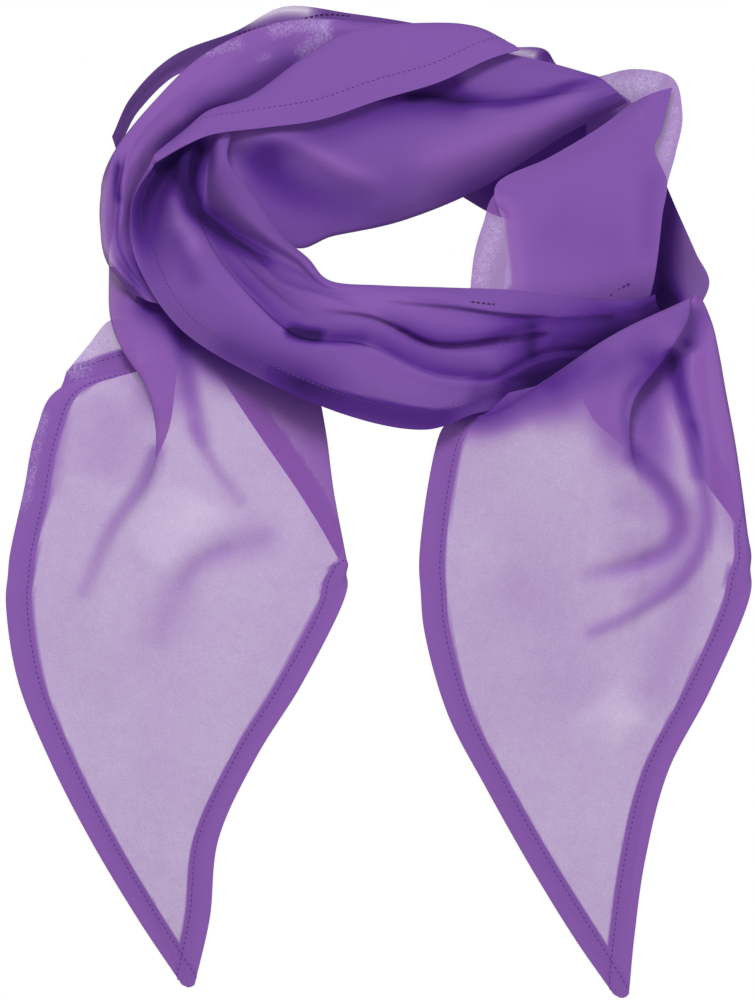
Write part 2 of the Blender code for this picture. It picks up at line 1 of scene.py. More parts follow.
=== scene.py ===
# %% [markdown]
# # A sheer chiffon scarf, wound round an open neck
#
# This lesson dresses the plain solids of a scarf as chiffon: a thin crepe cloth that one can see
# through, with wide turned hems, stitches and soft folds. One layer lets about a third of the light
# through, so the colour of a place comes from how many layers lie behind each other there. Only the
# stretches that show are built, so that count can't come from the geometry alone. It is a number
# stored on the cloth's points, which the finish turns into colour and opacity. The number also
# carries painted shade in folds, hollows and shadows, and painted highlights on lit parts.

import bpy
import numpy as np
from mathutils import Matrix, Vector


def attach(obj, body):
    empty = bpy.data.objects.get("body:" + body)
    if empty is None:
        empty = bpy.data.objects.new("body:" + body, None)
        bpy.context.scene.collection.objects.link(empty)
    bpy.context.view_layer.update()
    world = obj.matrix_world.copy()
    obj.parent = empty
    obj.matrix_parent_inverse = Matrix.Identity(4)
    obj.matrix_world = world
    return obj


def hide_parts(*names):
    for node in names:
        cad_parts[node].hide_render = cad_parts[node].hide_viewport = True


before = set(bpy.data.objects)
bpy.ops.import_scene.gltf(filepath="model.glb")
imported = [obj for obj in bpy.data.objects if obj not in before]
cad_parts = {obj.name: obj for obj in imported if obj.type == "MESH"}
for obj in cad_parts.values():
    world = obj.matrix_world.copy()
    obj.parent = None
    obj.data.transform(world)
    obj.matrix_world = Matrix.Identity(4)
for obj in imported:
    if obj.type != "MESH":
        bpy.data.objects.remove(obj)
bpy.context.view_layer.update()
print("nodes:", ", ".join(sorted(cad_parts)))

# %% [markdown]
# ## Sizes
#
# The scarf is drawn in millimetres in a drawing frame of its own: x runs to the right, y away from
# the viewer and z up. The nape of the neck, which is the part's origin, lies a little in front of and
# below the drawing's own origin.

# %% Driving sizes
MM = 0.001
NAPE = np.array((0.0, -9.5, -7.5))  # mm, the part's origin in the drawing frame
FINE = 1.7  # mm, the size of the cloth's facets
MOST_STEPS = 40  # the most facets between two drawn places
TINY = 1e-9  # in place of a length of 0, which can't divide anything
print(f"facets of {FINE} mm, at most {MOST_STEPS} between two places")

# %% [markdown]
# ## From a table of lines to cloth
#
# A wound scarf is one long strip. Each stretch of it that shows is drawn by the lines that run along
# it: its hems, its crests and the edges of its folds. Its table has a row for each line and a column
# for each section across the cloth. A smooth curve goes through these few places, first from section
# to section and then from line to line. A subdivision surface would be quicker to set up, but it
# shrinks the outline. This curve passes through every drawn place.

# %% Smooth curves through the tables
LEAST_GAP = 0.01  # mm, so that two places that meet still have a step between them


def length(vectors):
    return np.linalg.norm(vectors, axis=-1, keepdims=True)


def unit(vectors):
    return vectors / np.maximum(length(vectors), TINY)


def ramp(values, start, end):
    """0 up to the start, 1 from the end on, and straight between them."""
    return np.clip((values - start) / (end - start), 0, 1)


def smooth(points, steps):
    """A smooth curve through the rows of points, with this many steps between two rows."""
    gaps = np.linalg.norm(np.diff(points, axis=0), axis=-1)
    mean = gaps.reshape(len(gaps), -1).mean(1)
    knots = np.concatenate(([0.0], np.cumsum(np.sqrt(mean + LEAST_GAP))))
    widths = np.diff(knots).reshape(-1, *([1] * (points.ndim - 1)))
    slopes = np.diff(points, axis=0) / widths
    tangents = np.empty_like(points)
    tangents[0] = slopes[0]
    tangents[-1] = slopes[-1]
    before, after = widths[:-1], widths[1:]
    tangents[1:-1] = (slopes[:-1] * after + slopes[1:] * before) / (before + after)
    made = []
    for i, (count, width) in enumerate(zip(steps, widths)):
        for t in np.arange(count) / count:
            made.append(
                points[i] * (2 * t**3 - 3 * t**2 + 1)
                + points[i + 1] * (3 * t**2 - 2 * t**3)
                + width * tangents[i] * (t**3 - 2 * t**2 + t)
                + width * tangents[i + 1] * (t**3 - t**2)
            )
    made.append(points[-1])
    return np.array(made)


def steps_for(points, step=FINE):
    """How many steps of about this length each gap between two rows takes."""
    mean = np.linalg.norm(np.diff(points, axis=0), axis=-1).mean(axis=1)
    return np.clip(np.round(mean / step), 1, MOST_STEPS).astype(int)


# %% From a table to a grid of places on the cloth
def sections(table):
    """A table's places, section by section."""
    return np.array(list(table.values()), dtype=float).transpose(1, 0, 2)


def along(table):
    """A table's lines, made smooth from section to section."""
    made = sections(table)
    return list(smooth(made, steps_for(made)).transpose(1, 0, 2))


def woven(lines):
    """A grid of places on the cloth: rows run along it, from its first line to its last."""
    lines = np.stack(lines)
    return smooth(lines, steps_for(lines))


def plain(table):
    """The grid of a stretch without folds of its own."""
    return woven(along(table))


def run_on(grid, *offsets):
    """The grid with more columns before its first one, each that column moved by an offset."""
    return np.concatenate([grid[:, :1] + offset for offset in offsets] + [grid], axis=1)


# %% [markdown]
# ## Folds
#
# Cloth never folds to a knife edge, and a sharp crest would catch the light as a hard line. At each
# fold three lines take the place of one, as far apart as two layers of cloth, and the smooth curve
# through them makes the round edge. A pleat has a second fold behind the one that shows. It is worked
# out from the first, so that a pleat can open and close along the cloth with one row of strengths. A
# cloth simulation could find its own folds, but not these ones in these places.

# %% Pleats
PLEAT_REACH = 7.0  # mm, how far the hidden fold of a pleat lies behind its visible one
REACH_SHARE = 0.7  # and at most this share of the way to the next line
LAYER_STEP = 3.2  # mm, depth between a pleat's two folds
STEP_WIDTH = 6.0  # mm, the next line is this far off before the depth is as large as that
DEEP_FROM = 0.25  # the strength from which a pleat's folds are their full depth apart
FLAT_SHARE = 0.35  # where its hidden line lies on flat cloth, on the way to the line beyond
BULGE_WIDTH = 40.0  # mm, two lines this far apart have the full bulge between them


def spread(strengths, table):
    """A strength for each section, as one for each place on the lines that along() makes."""
    steps = steps_for(sections(table))
    places = np.concatenate(([0], np.cumsum(steps)))
    return np.interp(np.arange(places[-1] + 1), places, strengths)


def between(first, second, share, forward):
    """A line part of the way between two, moved forward by some mm where they are far apart."""
    made = first + (second - first) * share
    made[:, 1:2] -= forward * ramp(length(second - first), 0, BULGE_WIDTH)
    return made


def hidden_fold(edge, over, beyond, strength, inward):
    """The second fold of a pleat, behind the layer that runs from its edge to over.

    Where the strength is 0 there is no pleat, and the line lies flat between edge and beyond.
    inward is a place on the side where the hidden fold lies."""
    strength = strength[:, None]
    behind = unit(np.cross(np.gradient(edge, axis=0), over - edge))
    behind *= np.where((behind * (np.array(inward) - edge)).sum(1, keepdims=True) < 0, -1, 1)
    reach = np.minimum(PLEAT_REACH, length(over - edge) * REACH_SHARE)
    flat = (beyond - edge) * FLAT_SHARE
    folded = unit(over - edge) * reach
    room = ramp(length(over - edge), 0, STEP_WIDTH)
    depth = LAYER_STEP * room * ramp(strength, 0, DEEP_FROM)
    return edge + flat + (folded - flat) * strength + behind * depth


# %% Round edges
FOLD_RADIUS = 1.6  # mm, half the distance between two layers at a fold
FLAT_TURN = -0.2  # the cosine between a fold's two sides up to which the cloth is flat
FOLDED_TURN = 0.6  # and from which it is a folded edge
NEAR = 3.0  # mm, with its neighbour line up to this near a fold isn't rounded
CLEAR = 5.0  # mm, and from this far on it is
EASE_SHARE = 0.3  # on flat cloth, how far along to its neighbours an extra line lies
EASE_MOST = 6.0  # mm


def rounded(previous, edge, following):
    """Three lines in place of a fold's edge, so that the cloth turns with FOLD_RADIUS.

    Where the cloth runs straight on, or its lines are close, they lie evenly round the edge."""
    to_previous, to_following = previous - edge, following - edge
    near = np.minimum(length(to_previous), length(to_following))
    towards = unit(unit(to_previous) + unit(to_following))
    apart = to_previous - to_following
    apart = unit(apart - (apart * towards).sum(1, keepdims=True) * towards)
    turn = (unit(to_previous) * unit(to_following)).sum(1, keepdims=True)
    folded = ramp(turn, FLAT_TURN, FOLDED_TURN) * ramp(near, NEAR, CLEAR)
    lines = []
    for side, neighbour in ((1, to_previous), (-1, to_following)):
        flat = edge + unit(neighbour) * np.minimum(length(neighbour) * EASE_SHARE, EASE_MOST)
        bent = edge + FOLD_RADIUS * (towards + side * apart)
        lines.append(flat + (bent - flat) * folded)
    return lines[0], edge, lines[1]


# %% [markdown]
# ## Creases
#
# Between its large folds, chiffon has soft creases that start at a pinch and die out in the open
# cloth. The same marks paint shade into creases, hollows and shadows, and paint highlights on lit
# parts. Sculpting could make the creases, but couldn't be read or changed later. Each is a mark:
#
# - its path, as two of the three axes show it, in mm
# - the depth of its trough and its width, in mm, with a negative depth for a ridge
# - how many more layers it looks like, as one number or as one for each end: mostly painted shade;
#   where negative, a painted highlight; for a doubled fold, real layers; in a table of crepe, how
#   crumpled it is
# - the side of the path on which it is soft, or both

# %% Soft troughs and ridges
VIEWS = {"front": (0, 2, 1), "top": (0, 1, 2)}  # the two axes that are drawn and the one that is moved
PATH_STEP = 4.0  # mm
SIDE_SOFT = 0.8  # mm over which a mark with one soft side ends on its other side
END_FADE = 1.8  # the larger this is, the shorter are the faded ends of a mark


def path_points(path):
    """A smooth path through a mark's few places; between two places it is straight."""
    path = np.array(path, dtype=float)
    if len(path) < 3:
        return path
    return smooth(path, steps_for(path[:, None], PATH_STEP))


def marked(grid, path, width, strength, side, view):
    """A strength on a path and softly less beside it, as seen in a view.

    One strength fades out towards both ends; a pair is that at the start and that at the end."""
    across, up, _ = VIEWS[view]
    flat = grid[..., [across, up]]
    line = path_points(path)
    ends = np.linspace(0, 1, len(line))
    best = np.full(grid.shape[:2], np.inf)
    place = np.zeros(grid.shape[:2])
    left = np.zeros(grid.shape[:2])
    for a, b, start, end in zip(line[:-1], line[1:], ends[:-1], ends[1:]):
        run = b - a
        share = np.clip(((flat - a) @ run) / max(run @ run, TINY), 0, 1)
        beside = flat - a - share[..., None] * run
        far = np.linalg.norm(beside, axis=-1)
        off = (run[0] * beside[..., 1] - run[1] * beside[..., 0]) / length(run)
        nearer = far < best
        place = np.where(nearer, start + (end - start) * share, place)
        left = np.where(nearer, off, left)
        best = np.minimum(best, far)
    if isinstance(strength, tuple):
        strength = np.interp(place, (0, 1), strength)
    else:
        strength = strength * np.clip(np.sin(np.pi * place) * END_FADE, 0, 1)
    made = np.exp(-((best / width) ** 2)) * strength
    if side == "both":
        return made
    return made * ramp(left if side == "left" else -left, -SIDE_SOFT, SIDE_SOFT)


def creased(grid, marks, view="front"):
    """The grid with the troughs and ridges of its marks."""
    made = grid.copy()
    for path, depth, width, _, side in marks.values():
        made[..., VIEWS[view][2]] += marked(grid, path, width, depth, side, view)
    return made


def summed_marks(grid, marks):
    """How many more layers the marks amount to, painted shade and highlights included."""
    made = np.zeros(grid.shape[:2])
    for path, _, width, more, side in marks.values():
        made += marked(grid, path, width, more, side, "front")
    return made


# %% [markdown]
# ## Finishes
#
# Crepe chiffon is woven from hard-twisted yarn that pulls the cloth into a fine grain. It scatters
# light softly, so it is rough and hardly shines. The grain shows twice: as a bump, and as threads
# that lie closer or further apart, which changes how much one layer hides. A glass or volume shader
# could carry light through the cloth, but slowly and with noise. Here the stored number of layers
# picks a shade from a ramp and sets how much shows through. Where the marks add painted shade, the
# ramp's dark end is that painted shade. Pale specks on crumpled crepe are painted sparkle highlights,
# and the cloth emits a little of its own shade colour, a painted glow so that its shadows aren't grey.

# %% A socket that does sums
class Sum:
    """Wraps a node's output, so that shader maths reads as Python."""

    def __init__(self, tree, socket):
        self.tree = tree
        self.socket = socket

    def maths(self, operation, other, swapped=False):
        made = self.tree.nodes.new("ShaderNodeMath")
        made.operation = operation
        pair = (other, self) if swapped else (self, other)
        for slot, value in zip(made.inputs, pair):
            if isinstance(value, Sum):
                self.tree.links.new(value.socket, slot)
            else:
                slot.default_value = value
        return Sum(self.tree, made.outputs[0])

    def __add__(self, other):
        return self.maths("ADD", other)

    def __sub__(self, other):
        return self.maths("SUBTRACT", other)

    def __rsub__(self, other):
        return self.maths("SUBTRACT", other, swapped=True)

    def __mul__(self, other):
        return self.maths("MULTIPLY", other)

    def __pow__(self, other):
        return self.maths("POWER", other)

    def __rpow__(self, other):
        return self.maths("POWER", other, swapped=True)

    __radd__ = __add__
    __rmul__ = __mul__


# %% Materials and any other node
def finish(name):
    """A new material, its nodes and its shader."""
    made = bpy.data.materials.new(name)
    made.use_nodes = True
    return made, made.node_tree, made.node_tree.nodes["Principled BSDF"]


def ramp_stops(colours, stops):
    """Gives a colour ramp its stops, each a place and a colour."""
    while len(colours.elements) < len(stops):
        colours.elements.new(1.0)
    for element, (place, colour) in zip(colours.elements, stops):
        element.position = place
        element.color = colour


def node(tree, kind, settings, **sockets):
    """A node of a kind; its settings are set first, then the values or links of its sockets."""
    made = tree.nodes.new(kind)
    for name, value in settings.items():
        if name == "stops":
            ramp_stops(made.color_ramp, value)
        else:
            setattr(made, name, value)
    for name, value in sockets.items():
        slot = made.inputs[name.replace("_", " ")]
        if isinstance(value, Sum):
            tree.links.new(value.socket, slot)
        else:
            slot.default_value = value
    return made


def noise(tree, size, detail, **more):
    """A noise with grains of a size in mm, as a value from 0 to 1."""
    place = Sum(tree, node(tree, "ShaderNodeTexCoord", {}).outputs["Object"])
    made = node(tree, "ShaderNodeTexNoise", {"noise_dimensions": "3D"}, Vector=place,
                Scale=1 / (size * MM), Detail=detail, **more)
    return Sum(tree, made.outputs[0])


def stored(tree, name):
    """A value stored on the cloth's points."""
    return Sum(tree, node(tree, "ShaderNodeAttribute", {"attribute_name": name}).outputs["Fac"])


def bumped(tree, shader, strength, distance, height):
    """Gives a shader a relief, where a height of 1 stands for this distance in mm."""
    bump = node(tree, "ShaderNodeBump", {}, Strength=strength, Distance=distance * MM, Height=height)
    tree.links.new(bump.outputs[0], shader.inputs["Normal"])


# %% Chiffon
MOST_LAYERS = 10.0
# The palest colour: the thinnest cloth, and painted highlights and sparkle.
PALE_AND_HIGHLIGHT = (0.62, 0.5, 0.86, 1.0)
# Its darker stops show the painted shade that the marks add.
CHIFFON_SHADES = (  # from no layer to the depth of a fold, where hardly any light comes out again
    (0.0 / MOST_LAYERS, PALE_AND_HIGHLIGHT),
    (1.0 / MOST_LAYERS, (0.26, 0.098, 0.405, 1.0)),
    (2.0 / MOST_LAYERS, (0.24, 0.102, 0.39, 1.0)),
    (3.2 / MOST_LAYERS, (0.182, 0.078, 0.335, 1.0)),
    (6.0 / MOST_LAYERS, (0.09, 0.025, 0.235, 1.0)),
    (10.0 / MOST_LAYERS, (0.03, 0.01, 0.095, 1.0)),
)
LAYER_OPEN = 0.30  # the share of light that one layer lets through
CLOSING = 1.35  # more layers than one hide more than so many single ones, as their threads cross
PAINTED_GLOW = 0.15  # painted glow: light in the cloth's own shade colour that it emits, so that no shade on it is grey
ROUGH = 0.62
GLOSS = 0.05
BUMP_STRENGTH = 0.4
RELIEF = 0.8  # mm that a height of 1 stands for

GRAIN_SIZE = 0.9  # mm
CREPE_SIZE = 1.5  # mm
CRINKLE_SIZE = 6.0  # mm
CLOUD_SIZE = 38.0  # mm
GRAIN_LAYERS = 0.4  # layers between the loosest and the closest threads of the grain
CRINKLE_LAYERS = 0.15  # and so for the crinkles
CLOUD_LAYERS = 0.25  # and for the broad clouds
GRAIN_RELIEF = 0.25  # how high the grain stands, where a crinkle stands 1 high
CREPE_RELIEF = 2.0  # and how high crumpled crepe does
# Painted sparkle highlights: pale specks where crumpled crepe would glint.
PAINTED_SPARKLE_FROM = 0.30  # where in the crepe's noise a pale fleck starts
PAINTED_SPARKLE_TO = 0.78  # and where it is full
PAINTED_SPARKLE = 0.5  # how much of a full one is the pale shade


def chiffon():
    made, tree, shader = finish("crepe_chiffon")
    grain = noise(tree, GRAIN_SIZE, detail=2.0, Roughness=0.6)
    crinkle = noise(tree, CRINKLE_SIZE, detail=4.0)
    cloud = noise(tree, CLOUD_SIZE, detail=2.0)
    crepe = noise(tree, CREPE_SIZE, detail=1.0, Distortion=1.6) * stored(tree, "crepe")
    layers = stored(tree, "layers")
    # painted sparkle highlights, mixed into the shade below
    painted_sparkle = node(tree, "ShaderNodeMapRange", {}, Value=crepe, From_Min=PAINTED_SPARKLE_FROM, From_Max=PAINTED_SPARKLE_TO)
    deep = node(tree, "ShaderNodeValToRGB", {"stops": CHIFFON_SHADES}, Fac=layers * (1 / MOST_LAYERS))
    shade = node(tree, "ShaderNodeMixRGB", {}, Fac=Sum(tree, painted_sparkle.outputs[0]) * PAINTED_SPARKLE,
                 Color1=Sum(tree, deep.outputs[0]), Color2=PALE_AND_HIGHLIGHT)
    tree.links.new(shade.outputs[0], shader.inputs["Base Color"])
    # Painted glow: the cloth emits its own shade colour.
    tree.links.new(shade.outputs[0], shader.inputs["Emission Color"])
    shader.inputs["Emission Strength"].default_value = PAINTED_GLOW
    # The stored layers hold the marks' painted shade too, so shaded places are also more opaque.
    threads = (layers + (grain - 0.5) * GRAIN_LAYERS + (crinkle - 0.5) * CRINKLE_LAYERS
               + (cloud - 0.5) * CLOUD_LAYERS)
    tree.links.new((1 - LAYER_OPEN ** threads ** CLOSING).socket, shader.inputs["Alpha"])
    bumped(tree, shader, BUMP_STRENGTH, RELIEF, grain * GRAIN_RELIEF + crinkle + crepe * CREPE_RELIEF)
    shader.inputs["Roughness"].default_value = ROUGH
    shader.inputs["Specular IOR Level"].default_value = GLOSS
    return made


CHIFFON = chiffon()
print("finish:", CHIFFON.name)

# %% Thread
THREAD_COLOUR = (0.065, 0.026, 0.145, 1.0)
THREAD_ROUGH = 0.55
TWIST_SIZE = 0.3  # mm, the grain of its twisted yarn
TWIST_RELIEF = 0.1  # mm


def thread():
    made, tree, shader = finish("stitching_thread")
    bumped(tree, shader, BUMP_STRENGTH, TWIST_RELIEF, noise(tree, TWIST_SIZE, detail=2.0))
    shader.inputs["Base Color"].default_value = THREAD_COLOUR
    shader.inputs["Roughness"].default_value = THREAD_ROUGH
    return made


THREAD = thread()
print("finish:", THREAD.name)

# %% [markdown]
# ## From a grid to cloth
#
# The cloth is one thin sheet, a mesh of four-sided facets between the grid's places. A solid wall, as
# the plain part has, would be many times too thick for chiffon and would show its inside.

# %% Sheets
def linked(name, mesh, material):
    """An object in the scene from a mesh with one material."""
    mesh.materials.append(material)
    piece = bpy.data.objects.new(name, mesh)
    bpy.context.scene.collection.objects.link(piece)
    return piece


def sheet_mesh(name, grid, **values):
    """A sheet of chiffon on a grid, with values stored on its points."""
    rows, columns = grid.shape[:2]
    corner = np.arange(rows * columns).reshape(rows, columns)
    quads = np.stack((corner[:-1, :-1], corner[:-1, 1:], corner[1:, 1:], corner[1:, :-1]), -1)
    mesh = bpy.data.meshes.new(name)
    mesh.from_pydata(((grid - NAPE) * MM).reshape(-1, 3).tolist(), [], quads.reshape(-1, 4).tolist())
    mesh.shade_smooth()
    for value, numbers in values.items():
        kept = mesh.attributes.new(value, "FLOAT", "POINT")
        numbers = np.broadcast_to(numbers, grid.shape[:2]).astype(np.float32)
        kept.data.foreach_set("value", numbers.ravel())
    return linked(name, mesh, CHIFFON)


# %% Measuring on the cloth
def normals(grid):
    """The directions straight out of the cloth, all on the same side of it."""
    return unit(np.cross(np.gradient(grid, axis=0), np.gradient(grid, axis=1)))


def walked(points):
    """How far each place is from the first row, measured on the cloth."""
    steps = np.linalg.norm(np.diff(points, axis=0), axis=-1)
    return np.concatenate((np.zeros((1, *steps.shape[1:])), np.cumsum(steps, axis=0)))


def from_edge(grid, distance):
    """The line at a distance from the grid's first row, measured on the cloth."""
    far = walked(grid)
    line = np.empty((grid.shape[1], 3))
    for column in range(grid.shape[1]):
        for axis in range(3):
            line[column, axis] = np.interp(distance, far[:, column], grid[:, column, axis])
    return line


# %% [markdown]
# ## Hems
#
# A scarf's raw edge is turned twice and stitched down, which makes three layers, and that is why a
# chiffon hem looks so much darker. The hem piece is the same sheet: it starts at the cloth's edge,
# runs 13 mm inward behind it, turns and comes back. A painted stripe would be simpler, but its edge
# would have no thickness and no shadow.

# %% Turned hems
HEM_WIDTH = 13.0  # mm
HEM_LAYER = 0.35  # mm between the layers of a turned hem
HEM_LINES = 8  # lines in each of its hidden layers
HEM_CLOSE = 1.5  # how many layers each of them counts for, as a pressed hem lies close
HEM_MORE = (0.8, 1.7)  # what the face over a hem counts for besides, at the edge and at the seam


def hem_shade(grid):
    """How many layers more the cloth seems to have over its hem on the grid's first row.

    The shade ends within one facet at the hem's inner edge."""
    inward = walked(grid)
    over_hem = np.clip((HEM_WIDTH - inward) / FINE + 0.5, 0.0, 1.0)
    return over_hem * np.interp(inward / HEM_WIDTH, (0.0, 1.0), HEM_MORE)


def turned_hem(name, grid, behind):
    """The two hidden layers of a hem on the grid's first row.

    behind is 1 where the grid's normals point behind the cloth, and else -1."""
    face = [from_edge(grid, distance) for distance in np.linspace(0, HEM_WIDTH, HEM_LINES)]
    direction = normals(np.stack(face)) * behind
    under = [line + direction[i] * HEM_LAYER * min(i, 1) for i, line in enumerate(face)]
    back = [face[i] + direction[i] * HEM_LAYER * 2 for i in reversed(range(HEM_LINES))]
    return sheet_mesh(name, np.stack(under + back), layers=HEM_CLOSE, crepe=0.0)


# %% [markdown]
# ## Stitches
#
# The hem is held by a row of small stitches in a darker thread, a little outside its inner edge. Each
# is a raised dash, thickest in its middle, that goes right through the hem and so shows on both sides.
# A row of dashes in the finish could do for the colour, but would lie flat.

# %% Rows of stitches
STITCH_INSET = 2.4  # mm from the hem's inner edge to its stitches
STITCH_PITCH = 2.7  # mm
STITCH_LENGTH = 1.8  # mm
STITCH_WIDTH = 1.0  # mm
STITCH_PROUD = 0.24  # mm that the thread stands out of the cloth
STITCH_RINGS = ((0.0, 0.35), (0.2, 1.0), (0.8, 1.0), (1.0, 0.35))  # places on it and its size there
STITCH_CORNERS = ((-0.5, 0.5), (0.0, 0.0), (0.5, 0.5), (0.0, 1.0))  # shares of its width and depth
SEAM_LIFT = 0.35  # mm that a seam across a face lies in front of the nearest point


def stitch(points, through, first):
    """The corners and faces of one stitch; through points from the face into the cloth."""
    forward = unit(points[-1] - points[0])
    whole = 2 * HEM_LAYER + 2 * STITCH_PROUD
    verts = []
    for point, into, (_, size) in zip(points, through, STITCH_RINGS):
        side = unit(np.cross(forward, into))
        for across, deep in STITCH_CORNERS:
            depth = -STITCH_PROUD + whole * (0.5 + (deep - 0.5) * size)
            verts.append(point + side * across * size * STITCH_WIDTH + into * depth)
    count = len(STITCH_CORNERS)
    last = first + count * (len(STITCH_RINGS) - 1)
    faces = []
    for ring in range(first, last, count):
        for i in range(count):
            low = ring + i
            next_low = ring + (i + 1) % count
            faces.append((low, next_low, next_low + count, low + count))
    faces.append(tuple(reversed(range(first, first + count))))
    faces.append(tuple(range(last, last + count)))
    return verts, faces


def stitches(name, line, through):
    """Stitches along a line, right through the hem; through points from the face into it."""
    far = walked(line)

    def at(places, values):
        return np.stack([np.interp(places, far, values[:, k]) for k in range(3)], -1)

    starts = np.arange(STITCH_PITCH, far[-1] - STITCH_PITCH, STITCH_PITCH)
    verts, faces = [], []
    for start in starts:
        places = start + STITCH_LENGTH * np.array(STITCH_RINGS)[:, 0]
        more_verts, more_faces = stitch(at(places, line), unit(at(places, through)), len(verts))
        verts += more_verts
        faces += more_faces
    mesh = bpy.data.meshes.new(name)
    mesh.from_pydata([((vert - NAPE) * MM).tolist() for vert in verts], [], faces)
    print(f"{name}: {len(starts)} stitches")
    return linked(name, mesh, THREAD)


def seam(name, grid, path):
    """Stitches across a face, along a path as the front shows it."""
    flat = grid.reshape(-1, 3)
    places = []
    for x, z in path_points(path):
        nearest = np.argmin(np.hypot(flat[:, 0] - x, flat[:, 2] - z))
        places.append((x, flat[nearest, 1] - SEAM_LIFT, z))
    places = np.stack(places)
    return stitches("seam_" + name, places, np.broadcast_to((0.0, 1.0, 0.0), places.shape))


# %% [markdown]
# ## Putting a stretch on the part
#
# Every stretch of cloth stands for one solid of the plain part, rides on its one body and prints the
# size it was cut to. Its hems and stitches go with it.

# %% One stretch with its hems and stitches
THINNEST = 0.15  # layers


def dress(node_name, grid, *, cut, layers=1.0, creases=None, crepe_marks=None, crepe_opens=0.0,
          hems=(), pieces=()):
    """Makes a stretch of cloth in place of a solid.

    cut is the flat width and length in mm. layers is how many the stretch counts for, with those of
    its creases more; crepe_opens is how many full crepe takes off. hems are on the "first" or "last"
    rows of the grid."""
    # The crease marks add painted shade, and take layers off for painted highlights.
    layers = layers + summed_marks(grid, creases or {})
    crepe = summed_marks(grid, crepe_marks or {})
    layers = np.maximum(layers - crepe * crepe_opens, THINNEST)
    for side in hems:
        over = hem_shade(grid) if side == "first" else hem_shade(grid[::-1])[::-1]
        layers = np.maximum(layers, np.minimum(layers, 1) + over)
    cloth = sheet_mesh("cloth_" + node_name, grid, layers=layers, crepe=crepe)
    extra = list(pieces)
    for side in hems:
        from_side, behind = (grid, 1) if side == "first" else (grid[::-1], -1)
        extra.append(turned_hem(f"hem_{node_name}_{side}", from_side, behind))
        line = from_edge(from_side, HEM_WIDTH - STITCH_INSET)
        beside = from_edge(from_side, HEM_WIDTH - STITCH_INSET + 1)
        through = normals(np.stack((line, beside)))[0] * behind
        extra.append(stitches(f"stitches_{node_name}_{side}", line, through))
    for piece in (cloth, *extra):
        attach(piece, "root")
    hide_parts(node_name)
    cut[0] * MM
    cut[1] * MM
    shown = sum(face.area for face in cloth.data.polygons)
    print(f"{node_name}: {len(cloth.data.polygons)} faces, {shown:.4f} m2, cut {cut[0]} x {cut[1]} mm")


# %% [markdown]
# ## The front band
#
# The band crosses the front under the chin. Its lower half is a wide panel that ends in a hem. Above
# it, two pleats lie over each other, and the top is a roll that turns inward to the neck. The pleats
# are real folds of the one sheet, since their edges throw shadows. The finer creases are marks.

